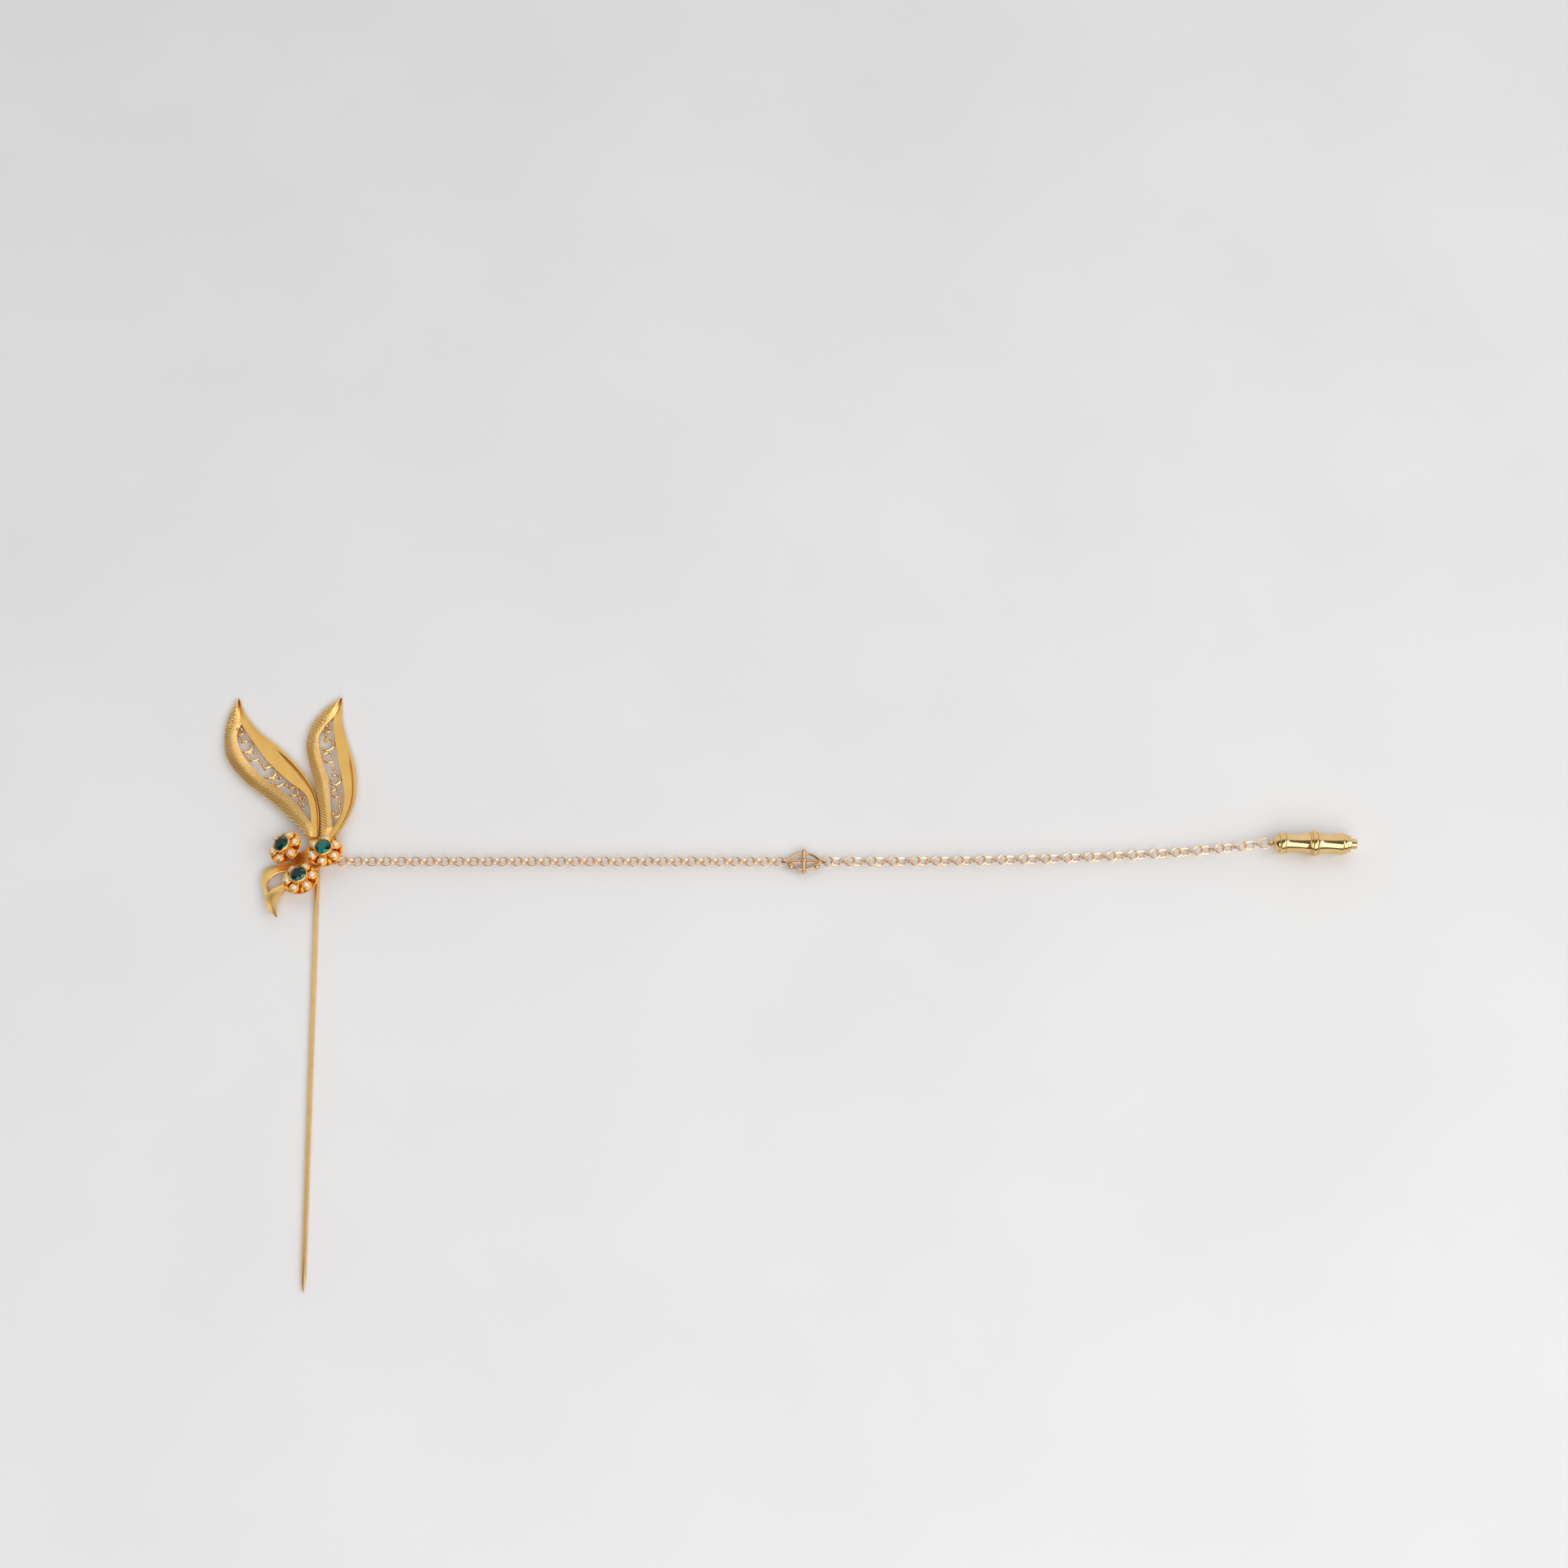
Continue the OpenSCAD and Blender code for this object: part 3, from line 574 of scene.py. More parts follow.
LEAVES = {
    "left": [
        [(-18.9, 49.7), (-20.8, 45.2), (-21.5, 40), (-20.6, 34.4), (-16.6, 28.8), (-10.4, 23.3), (-5.6, 18.4),
         (-2, 14)],
        [(-18.9, 49.7), (-18.6, 46), (-18.1, 43)],
        [(-18.1, 43), (-18.9, 39.8), (-17.2, 35), (-12.9, 29.5), (-6.8, 24.3), (-3.5, 20.3), (-1.5, 17.5)],
        [(-18.1, 43), (-15.4, 38.7), (-11.5, 33), (-6.7, 27.9), (-3.2, 24.8), (-1.9, 21.5), (-1.5, 17.5)],
        [(-1.5, 17.5), (-1.1, 15.8), (-1, 14)],
        [(-18.9, 49.7), (-17.3, 45.6), (-13.9, 40.9), (-8.6, 36), (-3.6, 30), (-0.8, 24.6), (0.3, 19),
         (0.2, 14)],
    ],
    "right": [
        [(4.2, 48.7), (0.6, 45.8), (-2.2, 41.8), (-3.2, 37), (-2.3, 32), (-0.8, 26.2), (0.5, 20), (0.9, 14)],
        [(4.2, 48.7), (3.4, 46), (2.5, 43.9)],
        [(2.5, 43.9), (0.4, 41), (-0.7, 38.2), (0.2, 33.2), (1.9, 27.9), (2.6, 21.6), (3.2, 16)],
        [(2.5, 43.9), (2.7, 40.4), (3.6, 34.5), (5, 27.6), (5.6, 22.8), (4.8, 18.6), (3.2, 16)],
        [(3.2, 16), (2.7, 15), (2.3, 14)],
        [(4.2, 48.7), (4.3, 43.5), (5.4, 38.6), (7.3, 32.3), (8, 26.8), (7.6, 22), (6, 17.6), (3.9, 14)],
    ],
}
# Slope of the ribs at the tip and at the base, in degrees below the X axis
RIB_SLOPES = {"left": (14, 32), "right": (24, 43)}
# Tiny beads on the ribbed side near the tip
TIP_BEADS = {
    "left": [(-19.4, 46.0), (-19.3, 45.2), (-19.7, 44.6), (-20.1, 44.1), (-19.7, 43.6), (-20.5, 43.7),
             (-19.9, 42.8), (-20.3, 43.0), (-19.2, 47.0), (-19.3, 44.1), (-19.1, 43.2), (-20.6, 42.6)],
    "right": [(1.9, 45.3), (1.4, 44.6), (0.9, 44.0), (0.5, 43.2), (0.1, 42.4), (1.2, 43.7), (0.8, 42.8)],
}
# x, y, radius, angle of the first end, sweep
SCROLLS = {
    "left": [(-18.3, 41.3, 0.95, 20, 300), (-16.75, 37.35, 1.4, 130, -270), (-14.95, 34.95, 1.3, 60, 265),
             (-11.15, 30.6, 1.4, 145, -270), (-9.3, 28.35, 1.3, 60, 270), (-5.74, 25.54, 1.0, 130, -250),
             (-3.85, 23.2, 0.8, 20, 220)],
    "right": [(1.15, 41.1, 1.0, 50, 260), (1.3, 36.85, 1.4, 115, -250), (1.95, 33.85, 1.4, 70, 235),
              (3.3, 28.0, 1.2, 110, -270), (3.85, 24.8, 1.05, 60, 250), (3.8, 19.8, 1.0, 165, 215)],
}
# Wires that join the scrolls into one chain
NECKS = {
    "left": [((-18.25, 40.35), (-17.5, 38.4)), ((-13.9, 34.2), (-12.25, 31.4)),
             ((-8.17, 27.7), (-6.35, 26.3)), ((-4.8, 24.6), (-4.2, 23.6)), ((-4.25, 22.5), (-3.25, 20.85))],
    "right": [((1.15, 40.1), (0.7, 38.1)), ((0.3, 35.86), (-0.6, 36.0)), ((2.75, 32.7), (2.9, 29.1)),
              ((3.4, 26.8), (3.95, 25.85)), ((4.52, 24.0), (4.45, 21.2)), ((4.45, 21.2), (4.74, 20.15))],
}

drooped = (
    Matrix.Translation((0, LEAF_BASE_Y, PLATE_TOP))
    @ Matrix.Rotation(math.radians(-LEAF_DROOP), 4, "X")
    @ Matrix.Translation((0, -LEAF_BASE_Y, 0))
)


# Values of Y between which the ribs turn from the base's slope to the tip's
RIBS_TURN = (16, 46)
RIB_SHARPNESS = 0.7


def rib_wave(side, p):
    """Rounded ribs with sharp grooves between them, from 0 in a groove to 1 on a rib."""
    tip_slope, base_slope = RIB_SLOPES[side]
    down = 1 - ease(*RIBS_TURN, p.y)
    slope = math.radians(tip_slope + (base_slope - tip_slope) * down)
    phase = (p.x * math.sin(slope) + p.y * math.cos(slope)) / RIB_PITCH
    return abs(math.sin(math.pi * phase)) ** RIB_SHARPNESS


# In the leaf's surfaces, u goes from 0 at the tip to 1 at the base, and v from 0 at the outer edge to 1 at
# the inner edge. A pair holds the shares between which a form starts or ends.

def ribbed_surface(side):
    """The upper face of a leaf's ribbed side: a low crown above, a roof with a ridge below."""
    edge_height, rise, crown_height, ridge_height = 0.50, 0.12, 0.32, 0.52
    valley_depth, valley_ends = 0.40, (0.08, 0.22)
    roof_starts = (0.30, 0.48)
    groove_depth, groove_width = 0.10, 0.035
    rib_height, outer_rib_height, outer_ends = 0.17, 0.06, (0.4, 0.6)
    rib_overhang, overhang_width, bare_tip, crown_fullness = 0.14, 0.08, 0.05, 0.8

    def surface(u, v, p):
        wave = rib_wave(side, p)
        roof = ease(*roof_starts, u)
        crown = crown_height * math.sin(math.pi * v) ** crown_fullness
        ridge = ridge_height * (1 - abs(v - 0.5) / 0.5)
        valley = valley_depth * ease(0.5, 1.0, v) * (1 - ease(*valley_ends, u))
        height = edge_height + rise * v + crown * (1 - roof) + ridge * roof - valley
        groove = groove_depth * roof * math.exp(-((v - 0.5) / groove_width) ** 2)
        bold = rib_height + outer_rib_height * roof * (1 - ease(*outer_ends, v))
        rib = bold * wave * ease(0.0, bare_tip, u)
        shift = rib_overhang * wave * (1 - ease(0.0, overhang_width, v))
        return shift, height + rib - groove
    return surface


def smooth_surface(u, v, p):
    """The upper face of a leaf's smooth side: slightly dished, with a rolled edge from its middle down."""
    roll_starts, roll_thins, roll_thinning = (0.38, 0.5), (0.75, 1.0), 0.35
    rim, groove_depth, groove_width = 0.26, 0.26, 0.05
    roll_height, roll_width = 0.10, 0.09
    dish_depth, dish_rise = 0.10, 0.06
    edge_drop, edge_width = 0.22, 0.10
    valley_depth, valley_starts, valley_ends = 0.42, 0.35, (0.08, 0.20)
    rolled = ease(*roll_starts, u) * (1 - roll_thinning * ease(*roll_thins, u))
    dish = -dish_depth * math.sin(math.pi * v)
    groove = -groove_depth * rolled * math.exp(-((v - rim) / groove_width) ** 2)
    roll = roll_height * rolled * math.exp(-((v - rim / 2) / roll_width) ** 2)
    edge = -edge_drop * (1 - ease(0.0, edge_width, v))
    valley = -valley_depth * ease(valley_starts, 1.0, v) * (1 - ease(*valley_ends, u))
    return 0.0, LEAF_METAL + dish_rise + dish + groove + roll + edge + valley


def leaf_rails(side, smooth, count):
    outline = [curve(part) for part in LEAVES[side]]
    outer = outline[5] if smooth else outline[0]
    slot = outline[3] if smooth else outline[2]
    inner = outline[1] + slot[1:] + outline[4][1:]
    return even(outer, count)[1:], even(inner, count)[1:]


LEAF_HOLLOW = 0.3
TIP_BEAD_R = 0.24
TIP_BEAD_Z = 0.92
# Steps along and across each plate
RIBBED_ROWS, RIBBED_ACROSS = 460, 48
SMOOTH_ROWS, SMOOTH_ACROSS = 150, 40


def add_leaf(side):
    outer, inner = leaf_rails(side, False, RIBBED_ROWS)
    ribbed = Shape().add(plate(outer, inner, RIBBED_ACROSS, ribbed_surface(side), LEAF_HOLLOW), drooped)
    for x, y in TIP_BEADS[side]:
        ribbed.add(ball((x, y, TIP_BEAD_Z), TIP_BEAD_R, *BEAD_MESH), drooped)
    make(f"{side}_leaf_ribbed_gold", ribbed, RIBBED, "head", (f"{side}_leaf_ribbed_side",))
    outer, inner = leaf_rails(side, True, SMOOTH_ROWS)
    smooth = Shape().add(plate(outer, inner, SMOOTH_ACROSS, smooth_surface, LEAF_HOLLOW), drooped)
    make(f"{side}_leaf_satin_gold", smooth, SATIN, "head", (f"{side}_leaf_smooth_side",))
    add_scrolls(side)


SCROLL_WIRE = 0.5
SCROLL_BEAD = 0.33
# How much closer to its centre a scroll starts, and the share of its length over which it opens out
SCROLL_CURL = 0.45
CURL_END = 0.35
SCROLL_Z = LEAF_METAL / 2


def scroll_line(x, y, r, first, sweep, steps=40):
    """An arc that curls inwards at its first end if it turns anticlockwise."""
    curl = SCROLL_CURL if sweep > 0 else 0
    line = []
    for k in range(steps + 1):
        share = k / steps
        angle = math.radians(first + sweep * share)
        reach = r * (1 - curl * (1 - ease(0, CURL_END, share)))
        line.append(Vector((x + reach * math.cos(angle), y + reach * math.sin(angle), SCROLL_Z)))
    return line


def neck_line(start, end, steps=6):
    a, b = Vector((*start, SCROLL_Z)), Vector((*end, SCROLL_Z))
    return [a.lerp(b, k / steps) for k in range(steps + 1)]


def add_scrolls(side):
    """Each scroll is a wire with a bead at its ends, and necks join one scroll to the next."""
    shape = Shape()
    for scroll in SCROLLS[side]:
        line = scroll_line(*scroll)
        shape.add(wire(line, SCROLL_WIRE / 2), drooped)
        for end in (line[0], line[-1]):
            shape.add(ball(end, SCROLL_BEAD), drooped)
    for start, end in NECKS[side]:
        shape.add(wire(neck_line(start, end), SCROLL_WIRE / 2), drooped)
    make(f"{side}_leaf_curled_wires", shape, WIRE, "head", (f"{side}_leaf_scrolls",))


for leaf_side in LEAVES:
    add_leaf(leaf_side)


# ---- Flowers ----

# x, y, height of the dish above the plate, lean towards -X, lean towards +Y, first petal's angle
FLOWERS = {
    "left": (-6.2, 11.1, 1.3, 22, 8, 12),
    "right": (2.0, 9.9, 1.0, 3, 8, 25),
    "lower": (-3.1, 3.8, 0.7, 5, 10, 8),
}
PETALS = 6
PETAL_RING = 2.75
CLEAR_R = 0.65
CLEAR_SEAT = 1.6
GREEN_R = 1.75
GREEN_SEAT = 2.6

DISH_PROFILE = [
    (0, 0), (1.5, 0), (1.7, 0.03), (2.6, 0.22), (3.3, 0.48), (3.68, 0.62), (3.84, 0.72), (3.88, 0.83),
    (3.84, 0.93), (3.72, 0.98), (3.6, 0.94), (3.4, 0.82), (2.7, 0.56), (1.9, 0.36), (1.5, 0.3), (0, 0.3),
]
CUP_PROFILE = [
    (0, 0.45), (0.5, 0.45), (0.74, 0.5), (0.96, 0.66), (1.09, 0.9), (1.13, 1.15), (1.12, 1.4), (1.07, 1.58),
    (0.97, 1.7), (0.84, 1.75), (0.73, 1.74), (0.67, 1.68), (0.65, 1.55), (0.62, 1.36), (0, 1.0),
]
COLLAR_PROFILE = [
    (0, 0.3), (2.0, 0.3), (2.0, 1.9), (1.96, 2.0), (1.96, 2.1), (2.01, 2.2), (2.02, 2.5), (2.0, 2.7),
    (1.94, 2.84), (1.86, 2.9), (1.78, 2.88), (1.74, 2.78), (1.74, 2.45), (1.4, 2.15), (0, 0.8),
]
CLAWS = 4
CLAW_R = 0.14
CLAW_RING = 0.72
CLAW_Z = CLEAR_SEAT + 0.2


def flower_place(key):
    x, y, height, lean_x, lean_y, _ = FLOWERS[key]
    return (
        Matrix.Translation((x, y, PLATE_TOP + height))
        @ Matrix.Rotation(math.radians(-lean_x), 4, "Y")
        @ Matrix.Rotation(math.radians(-lean_y), 4, "X")
    )


def milled(angle, r, z):
    """Fine notches round the top of a collar."""
    notches, depth, starts_up, starts_out = 30, 0.022, (2.1, 2.4), (1.7, 1.95)
    cut = depth * ease(*starts_up, z) * ease(*starts_out, r)
    return r * (1 - cut * (0.5 + 0.5 * math.cos(notches * angle))), z


def clear_stone():
    return brilliant(CLEAR_R, table_r=CLEAR_R * 0.55, girdle=0.065, crown=0.28, depth=0.2)


def green_stone():
    return brilliant(GREEN_R, table_r=GREEN_R * 0.58, girdle=0.175, crown=0.65, depth=0.5)


def petal_place(turned, k):
    angle = 2 * math.pi * k / PETALS
    outwards = Matrix.Translation((PETAL_RING * math.cos(angle), PETAL_RING * math.sin(angle), 0))
    return turned @ outwards @ Matrix.Rotation(angle, 4, "Z")


def claw_place(claw):
    corner = 2 * math.pi * (claw + 0.5) / CLAWS
    return CLAW_RING * math.cos(corner), CLAW_RING * math.sin(corner), CLAW_Z


def add_flower(key):
    place = flower_place(key)
    first_petal = FLOWERS[key][5]
    turned = place @ Matrix.Rotation(math.radians(first_petal), 4, "Z")
    dish = Shape().add(lathe(DISH_PROFILE, segments=96), turned)
    make(f"{key}_flower_cupped_dish", dish, FLOWER, "head", (f"{key}_flower_dish",))
    cups, stones = Shape(), Shape()
    for k in range(PETALS):
        at_petal = petal_place(turned, k)
        cups.add(lathe(CUP_PROFILE, segments=28), at_petal)
        for claw in range(CLAWS):
            cups.add(ball(claw_place(claw), CLAW_R, *BEAD_MESH), at_petal)
        stones.add(clear_stone(), at_petal @ Matrix.Translation((0, 0, CLEAR_SEAT)))
    make(f"{key}_flower_petal_cups", cups, FLOWER, "head", (f"{key}_flower_petals",))
    # Each stone's facets get seeded painted glints
    make(f"{key}_flower_cut_clear_stones", stones, CLEAR, "head", (f"{key}_flower_clear_stones",), flat=True,
         glint_seed=first_petal)
    collar = Shape().add(lathe(COLLAR_PROFILE, segments=120, warp=milled), place)
    make(f"{key}_flower_milled_collar", collar, FLOWER, "head", (f"{key}_flower_collar",))
    green = Shape().add(green_stone(), turned @ Matrix.Translation((0, 0, GREEN_SEAT)))
    make(f"{key}_flower_cut_green_stone", green, GREEN, "head", (f"{key}_flower_green_stone",), flat=True,
         glint_seed=first_petal + 1)


for flower_key in FLOWERS:
    add_flower(flower_key)


# ---- Ribbon ----

LOOP_OUTER = [(-4.8, 8.7), (-8.4, 8.1), (-10.6, 7.5), (-11.7, 6.2), (-11.8, 4.2), (-11.3, 1.9), (-10.7, 0.9)]
LOOP_INNER = [(-4.6, 6.4), (-7.4, 6.4), (-9.2, 5.7), (-10.4, 4.4), (-10.4, 3.1), (-10, 2.2), (-9.4, 1.5)]
TAIL_UPPER = [(-4.6, 4.0), (-7, 3.3), (-9.1, 2.4), (-10.5, 1.1), (-10.8, -0.5), (-9.9, -2.5), (-8.1, -4.4)]
TAIL_LOWER = [(-4.4, 2.2), (-6.4, 1.8), (-7.6, 0.6), (-8.3, -0.8), (-8.4, -2.2), (-8.1, -4.4)]


def loop_surface(u, v, p):
    """The loop's band is dished, with a raised edge along its opening."""
    metal_height, rise, dish_depth = 0.56, 0.10, 0.14
    edge_height, edge_at, edge_width = 0.20, 0.93, 0.07
    dish = -dish_depth * math.sin(math.pi * v)
    edge = edge_height * math.exp(-((v - edge_at) / edge_width) ** 2)
    return 0.0, metal_height + rise * v + dish + edge


def tail_surface(u, v, p):
    """The tail has a crease along its middle that deepens towards its tip."""
    metal_height, crown_height, rise, rise_starts = 0.52, 0.12, 0.08, 0.6
    crease_depth, crease_at, crease_starts = 0.34, 0.45, (0.35, 0.7)
    creased = ease(*crease_starts, u)
    crease = crease_depth * creased * (1 - abs(v - crease_at) / (1 - crease_at))
    crown = crown_height * math.sin(math.pi * v) * (1 - creased)
    return 0.0, metal_height + crown - crease + rise * ease(rise_starts, 1.0, v)


# Steps along and across each part of the ribbon
RIBBON_ROWS, RIBBON_ACROSS = 70, 22


def add_ribbon():
    outer, inner = even(curve(LOOP_OUTER), RIBBON_ROWS), even(curve(LOOP_INNER), RIBBON_ROWS)
    loop = plate(outer, inner, RIBBON_ACROSS, loop_surface)
    make("ribbon_dished_loop", Shape().add(loop, Matrix.Translation((0, 0, PLATE_BOTTOM))), RIBBON, "head",
         ("ribbon_loop",))
    upper, lower = even(curve(TAIL_UPPER), RIBBON_ROWS)[:-1], even(curve(TAIL_LOWER), RIBBON_ROWS)[:-1]
    tail = plate(upper, lower, RIBBON_ACROSS, tail_surface)
    make("ribbon_creased_tail", Shape().add(tail, Matrix.Translation((0, 0, PLATE_TOP))), RIBBON, "head",
         ("ribbon_tail",))


add_ribbon()


# ---- Pin ----

ROOT_LENGTH = 12.5
ROOT_R = 0.5
ROOT_TAPER = 0.8
# How far in and how far along
ROOT_CHAMFER = (0.08, 0.1)
POINT_LENGTH = 3.3
POINT_R = 0.06
POINT_BELLY = 0.8


def add_pin():
    """A drawn wire, swaged where it leaves the head and ground to a point."""
    shank_r, shank_end = SHANK["r_mm"], SHANK["length_mm"]
    shank_steps, point_steps = 12, 8
    chamfer_r, chamfer_length = ROOT_CHAMFER
    profile = [
        (0, -ROOT_LENGTH), (ROOT_R - chamfer_r, -ROOT_LENGTH), (ROOT_R, -ROOT_LENGTH + chamfer_length),
        (ROOT_R, -ROOT_TAPER), (shank_r, 0),
    ]
    profile += [(shank_r, shank_end * k / shank_steps) for k in range(1, shank_steps + 1)]
    for k in range(1, point_steps + 1):
        share = k / point_steps
        radius = shank_r * (1 - share) ** POINT_BELLY + POINT_R * share
        profile.append((radius, shank_end + POINT_LENGTH * share))
    profile.append((0, shank_end + POINT_LENGTH))
    shape = Shape().add(lathe(profile, segments=40), Matrix.Rotation(math.radians(90), 4, "X"))
    make("pin_drawn_wire", shape, PIN_GOLD, "head", ("pin_stem",))


add_pin()


# ---- Station ----

OVAL_LENGTH = 7.4
OVAL_WIDTH = 3.8
FRAME_WIRE = 0.55
BAND_THICKNESS = 0.4
BAND_FLATTENING = 2.1
TIP_COLLAR = [(0, -0.25), (0.3, -0.25), (0.36, -0.18), (0.36, 0.18), (0.3, 0.25), (0, 0.25)]
BAR_LENGTH = OVAL_WIDTH + FRAME_WIRE
BAR_END_R = 0.3
BAR_R = 0.40
BAR_TURNS = 11
TURN_HEIGHT = 0.05
BOSS_HEIGHT = 0.36
BOSS_WIDTH = 0.10

station_place = Matrix.Translation((FIRST_END + SECOND_START) / 2) @ Matrix.Rotation(chain_turn, 4, "Z")


def oval_side(side, steps=40):
    """One bowed wire of the pointed oval: an arc from tip to tip, on the side that side's sign says."""
    half_length, half_width = OVAL_LENGTH / 2, OVAL_WIDTH / 2
    arc_r = (half_length ** 2 + half_width ** 2) / OVAL_WIDTH
    half_angle = math.asin(half_length / arc_r)
    line = []
    for k in range(steps + 1):
        angle = half_angle * (2 * k / steps - 1)
        line.append((arc_r * math.sin(angle), side * (arc_r * math.cos(angle) + half_width - arc_r), 0))
    return line


def add_station_wires():
    """Two bowed wires and a flattened band between them, in a collar at each tip."""
    shape, half_length, steps = Shape(), OVAL_LENGTH / 2, 10
    for side in (1, -1):
        shape.add(wire(oval_side(side), FRAME_WIRE / 2, sides=12), station_place)
    middle = [(half_length * (2 * k / steps - 1), 0, 0) for k in range(steps + 1)]
    flattened = Matrix.Diagonal((1, BAND_FLATTENING, 1, 1))
    shape.add(wire(middle, BAND_THICKNESS / 2, sides=16), station_place @ flattened)
    across = Matrix.Rotation(math.radians(90), 4, "Y")
    for side in (-1, 1):
        tip = Matrix.Translation((side * half_length, 0, 0))
        shape.add(lathe(TIP_COLLAR, segments=24), station_place @ tip @ across)
    make("station_bowed_wires", shape, STATION, "station", ("station_frame",))


def add_station_bar():
    """A bar wound with wire from edge to edge, with a boss at its middle."""
    bar_half, steps = BAR_LENGTH / 2, 8 * BAR_TURNS
    profile = [(0, -bar_half), (BAR_END_R, -bar_half)]
    for k in range(steps + 1):
        share = k / steps
        radius = BAR_R + TURN_HEIGHT * math.cos(2 * math.pi * BAR_TURNS * share)
        radius += BOSS_HEIGHT * math.exp(-((share - 0.5) / BOSS_WIDTH) ** 2)
        profile.append((radius, bar_half * (2 * share - 1)))
    profile += [(BAR_END_R, bar_half), (0, bar_half)]
    lying = station_place @ Matrix.Rotation(math.radians(90), 4, "X")
    bar = Shape().add(lathe(profile, segments=28), lying)
    make("station_wound_bar", bar, STATION, "station", ("station_wrap",))


add_station_wires()
add_station_bar()


# ---- Clutch: lengths are measured along its axis from the rear of its cap ----

BORE_MIDDLE = 16.0
DOME_LENGTH = 1.3
DOME_R = 1.76
PLUG_R = 1.5
PLUG_END = 2.8
FLANGE_START = 11.0
SPRING_R = 1.1
SPRING_WIRE = 0.22
SPRING_TURNS = 8

clutch_axis = Vector(BORE["axis"]).normalized()
clutch_rear = Vector(BORE["pos_m"]) / MM - clutch_axis * BORE_MIDDLE
clutch_place = Matrix.Translation(clutch_rear) @ clutch_axis.to_track_quat("Z", "Y").to_matrix().to_4x4()


def waist(start, end, shoulder_a, waist_r, shoulder_b, steps=28):
    """One bamboo joint: a waist between two shoulders."""
    points = []
    middle, half = (start + end) / 2, (end - start) / 2
    for k in range(steps + 1):
        x = start + (end - start) * k / steps
        t = (x - middle) / half
        shoulder = shoulder_a if t < 0 else shoulder_b
        points.append((waist_r + (shoulder - waist_r) * t * t, x))
    return points


# The barrel's outline from rear to nose, as (radius, distance)
REAR_RING = [
    (1.5, 1.3), (2.1, 1.3), (2.2, 1.33), (2.34, 1.44), (2.42, 1.65), (2.44, 1.95), (2.42, 2.25), (2.34, 2.42),
    (2.27, 2.47), (2.23, 2.52), (2.23, 2.58),
]
NODE_RINGS = [
    (2.40, 7.78), (2.38, 7.86), (2.42, 7.94), (2.58, 8.02), (2.62, 8.12), (2.60, 8.22), (2.52, 8.28),
    (2.56, 8.36), (2.72, 8.42), (2.79, 8.52), (2.8, 8.7), (2.8, 9.0), (2.79, 9.18), (2.72, 9.28),
    (2.56, 9.34), (2.52, 9.42), (2.58, 9.48), (2.6, 9.56), (2.56, 9.64), (2.46, 9.70),
]
NOSE_RINGS = [
    (2.42, 14.86), (2.40, 14.94), (2.44, 15.0), (2.42, 15.1), (2.32, 15.16), (2.26, 15.22), (2.24, 15.4),
    (2.22, 15.7), (2.18, 15.82), (2.06, 15.9), (1.98, 15.96), (1.94, 16.1), (1.90, 16.5), (1.84, 16.64),
    (1.72, 16.7),
]
INSIDE = [(1.22, 16.7), (1.22, 15.4), (1.5, 11.9)]


def add_cap(steps=14):
    """A dome with a plug that fits in the barrel."""
    cap = [(0, 0)]
    for k in range(1, steps + 1):
        angle = math.radians(90 * k / steps)
        cap.append((DOME_R * math.sin(angle), DOME_LENGTH * (1 - math.cos(angle))))
    cap += [(PLUG_R, DOME_LENGTH), (PLUG_R, PLUG_END), (0, PLUG_END)]
    shape = Shape().add(lathe(cap, segments=72), clutch_place)
    make("clutch_domed_cap", shape, BRASS, "clutch", ("clutch_end_cap",))


def add_barrel():
    rear_waist = waist(2.62, 7.72, shoulder_a=2.29, waist_r=1.97, shoulder_b=2.47)
    front_waist = waist(9.76, 14.78, shoulder_a=2.46, waist_r=2.1, shoulder_b=2.5)
    outline = REAR_RING + rear_waist + NODE_RINGS + front_waist + NOSE_RINGS + INSIDE
    shape = Shape().add(lathe(outline, segments=96), clutch_place)
    make("clutch_bamboo_barrel", shape, BRASS, "clutch", ("clutch_barrel",))


def add_spring():
    """The coil between the cap's plug and the plunger's flange, made at one length; the real one shortens as the
    plunger slides in.
    """
    length, steps = FLANGE_START - PLUG_END, 24
    line = []
    for k in range(SPRING_TURNS * steps + 1):
        angle = 2 * math.pi * k / steps
        z = PLUG_END + SPRING_WIRE / 2 + (length - SPRING_WIRE) * k / (SPRING_TURNS * steps)
        line.append((SPRING_R * math.cos(angle), SPRING_R * math.sin(angle), z))
    coil = Shape().add(wire(line, SPRING_WIRE / 2, sides=8), clutch_place)
    spring = make("clutch_wound_spring", coil, STEEL, "clutch", ("clutch_spring",))
    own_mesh(spring)


add_cap()
add_barrel()
add_spring()


# ---- CAD nodes that keep their shape ----

KEPT = {
    "pin_solder": SOLDER, "back_plate": SOLDER,
    "left_leaf_granules": WIRE, "right_leaf_granules": WIRE,
    "left_flower_post": SOLDER, "right_flower_post": SOLDER, "lower_flower_post": SOLDER,
    "chain_anchor_loop": FLOWER, "chain_anchor_ring": CHAIN,
    "station_beads": STATION, "station_eyes": STATION,
    "clutch_jump_ring": CHAIN, "clutch_eye": BRASS, "clutch_plunger": BRASS,
    "clutch_balls": STEEL,
}

for node_name, finish in KEPT.items():
    kept = frame["nodes"][node_name]
    kept.data.materials.clear()
    kept.data.materials.append(finish["shader"])


# ---- Floor, world and lights ----

FLOOR_HALF = 3.0
FLOOR_DRIFT_MM = 60
FLOOR_TINTS = (0.84, 0.83, 0.825), (0.87, 0.865, 0.86)
# The world's light comes from the gap where a direction's Y is below ROOM_STARTS, and from the room behind
# the object where it is above ROOM_FULL.
GAP_LIGHT = 0.14
ROOM_LIGHT = 0.90
ROOM_STARTS, ROOM_FULL = 0.10, 0.34
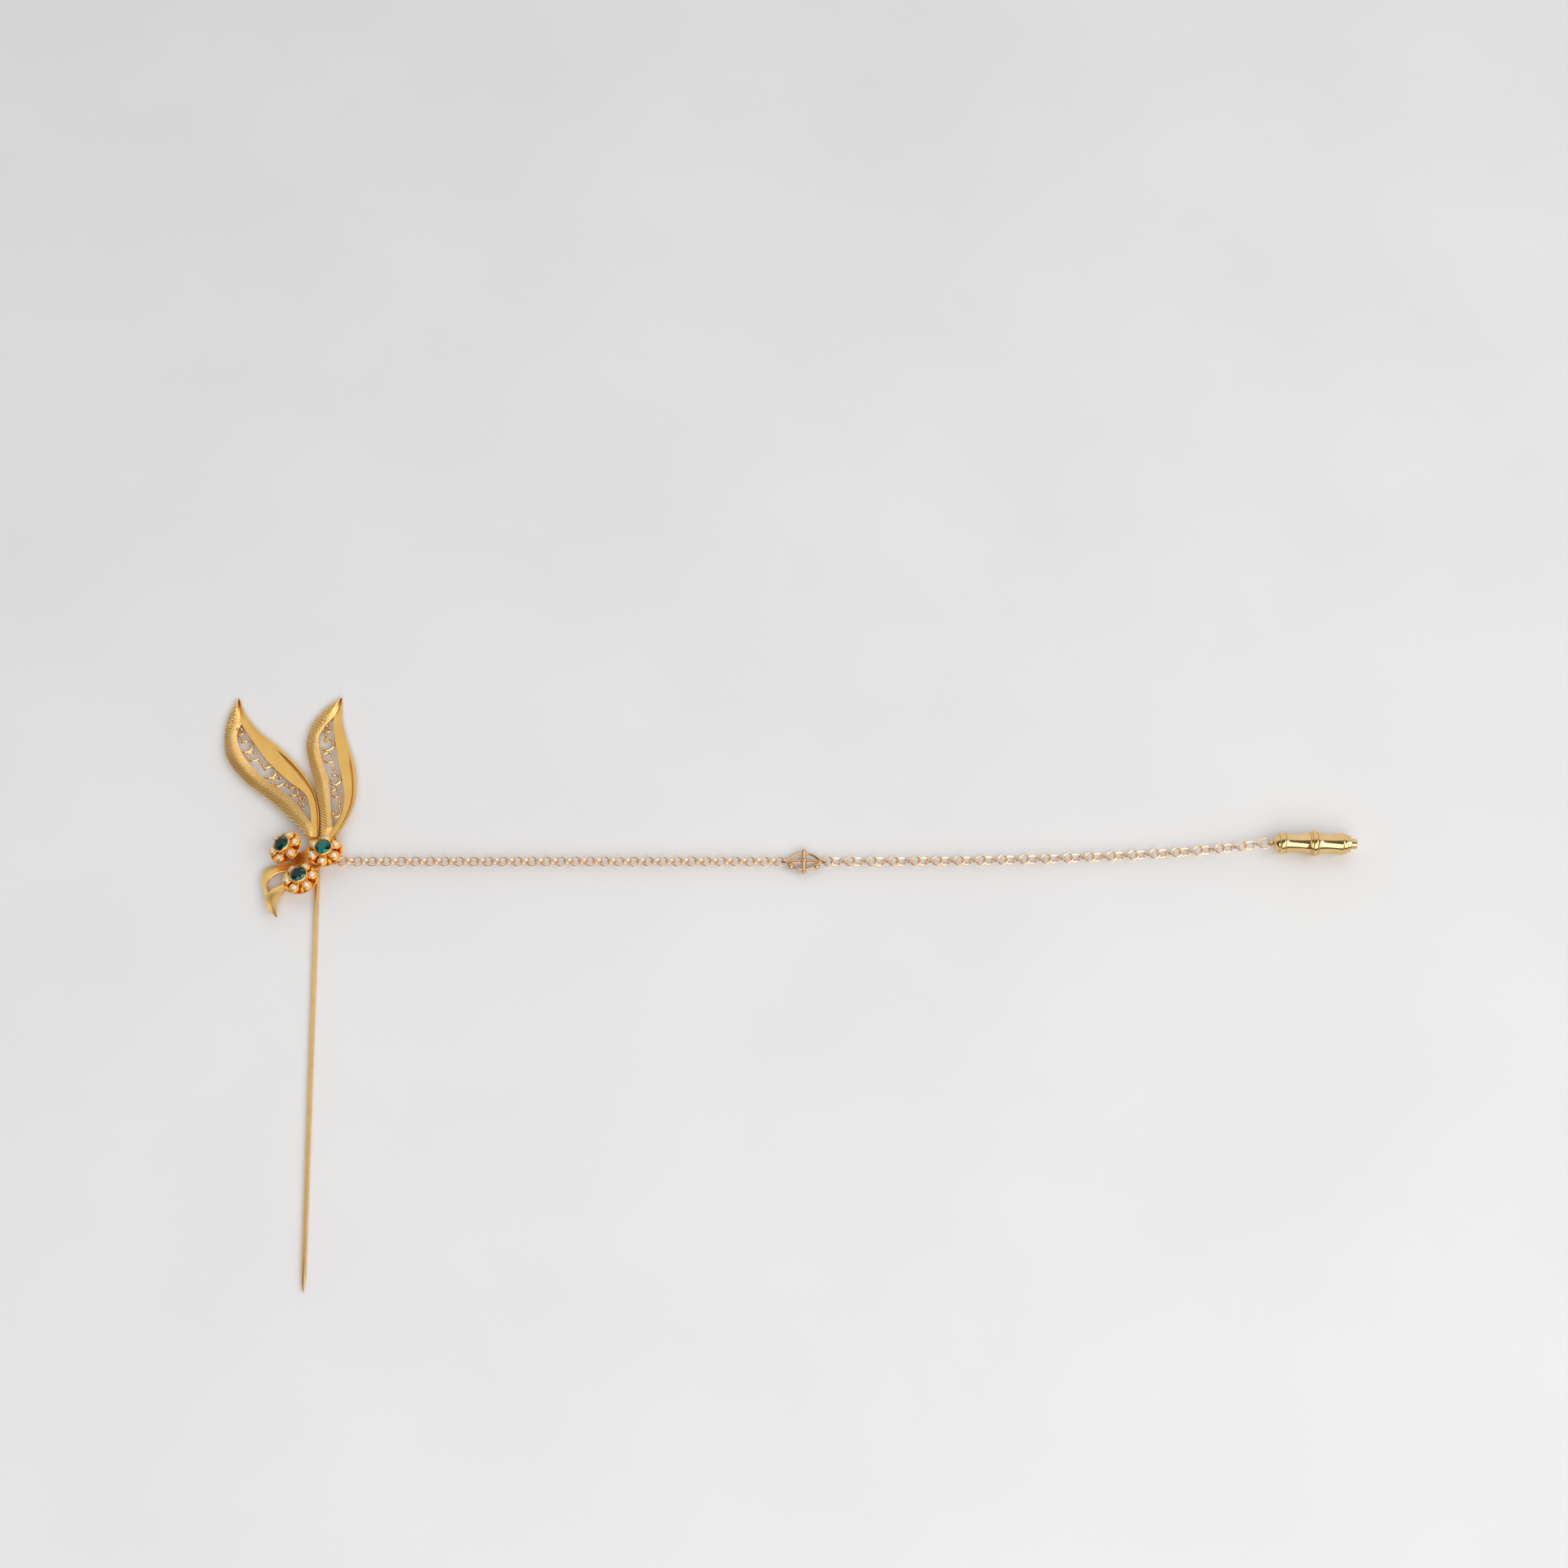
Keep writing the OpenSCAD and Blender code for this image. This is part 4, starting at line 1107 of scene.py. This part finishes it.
# Middle of the object, which the softboxes face
CENTRE = (0.1, 0.02, 0)
# Each softbox: place, width, height, watts, colour
SOFTBOXES = {
    "front": ((0.40, -1.09, 1.08), 1.95, 1.28, 18.6, (1, 0.995, 0.985)),
    "side": ((1.22, -0.24, 0.90), 0.68, 0.68, 5.0, (1, 0.985, 0.965)),
}


def add_floor():
    """Pale matt paper, whose tint drifts a little."""
    half = FLOOR_HALF
    mesh = bpy.data.meshes.new("floor")
    square = [(-half, -half), (half, -half), (half, half), (-half, half)]
    mesh.from_pydata([(x, y, FLOOR_Z * MM) for x, y in square], [], [(0, 1, 2, 3)])
    floor = bpy.data.objects.new("floor", mesh)
    bpy.context.scene.collection.objects.link(floor)
    shader, tree, principled = start_material("floor_paper")
    drift = noise_at(tree, FLOOR_DRIFT_MM)
    tint = blend_colours(tree, ranged(tree, drift.outputs["Fac"], 0, 1), *FLOOR_TINTS)
    tree.links.new(tint, principled.inputs["Base Color"])
    principled.inputs["Roughness"].default_value = 0.9
    principled.inputs["Specular IOR Level"].default_value = 0.2
    mesh.materials.append(shader)


def add_softbox(name, place, width, height, watts, colour):
    data = bpy.data.lights.new(name, "AREA")
    data.shape = "RECTANGLE"
    data.size, data.size_y = width, height
    data.energy = watts
    data.color = colour
    light = bpy.data.objects.new(name, data)
    bpy.context.scene.collection.objects.link(light)
    light.location = place
    aim(light, Vector(CENTRE))


def add_world():
    """A pale room behind the object, and a dark gap on its other sides, where the softboxes stand."""
    world = bpy.data.worlds.new("studio")
    bpy.context.scene.world = world
    world.use_nodes = True
    tree = world.node_tree
    background = tree.nodes["Background"]
    background.inputs["Color"].default_value = (0.97, 0.98, 1.0, 1)
    direction = tree.nodes.new("ShaderNodeTexCoord")
    split = tree.nodes.new("ShaderNodeSeparateXYZ")
    tree.links.new(direction.outputs["Generated"], split.inputs["Vector"])
    strength = ranged(tree, split.outputs["Y"], GAP_LIGHT, ROOM_LIGHT, ROOM_STARTS, ROOM_FULL)
    tree.links.new(strength, background.inputs["Strength"])


add_floor()
add_world()
for softbox, facts in SOFTBOXES.items():
    add_softbox(softbox, *facts)
bpy.context.scene.view_settings.view_transform = "Standard"
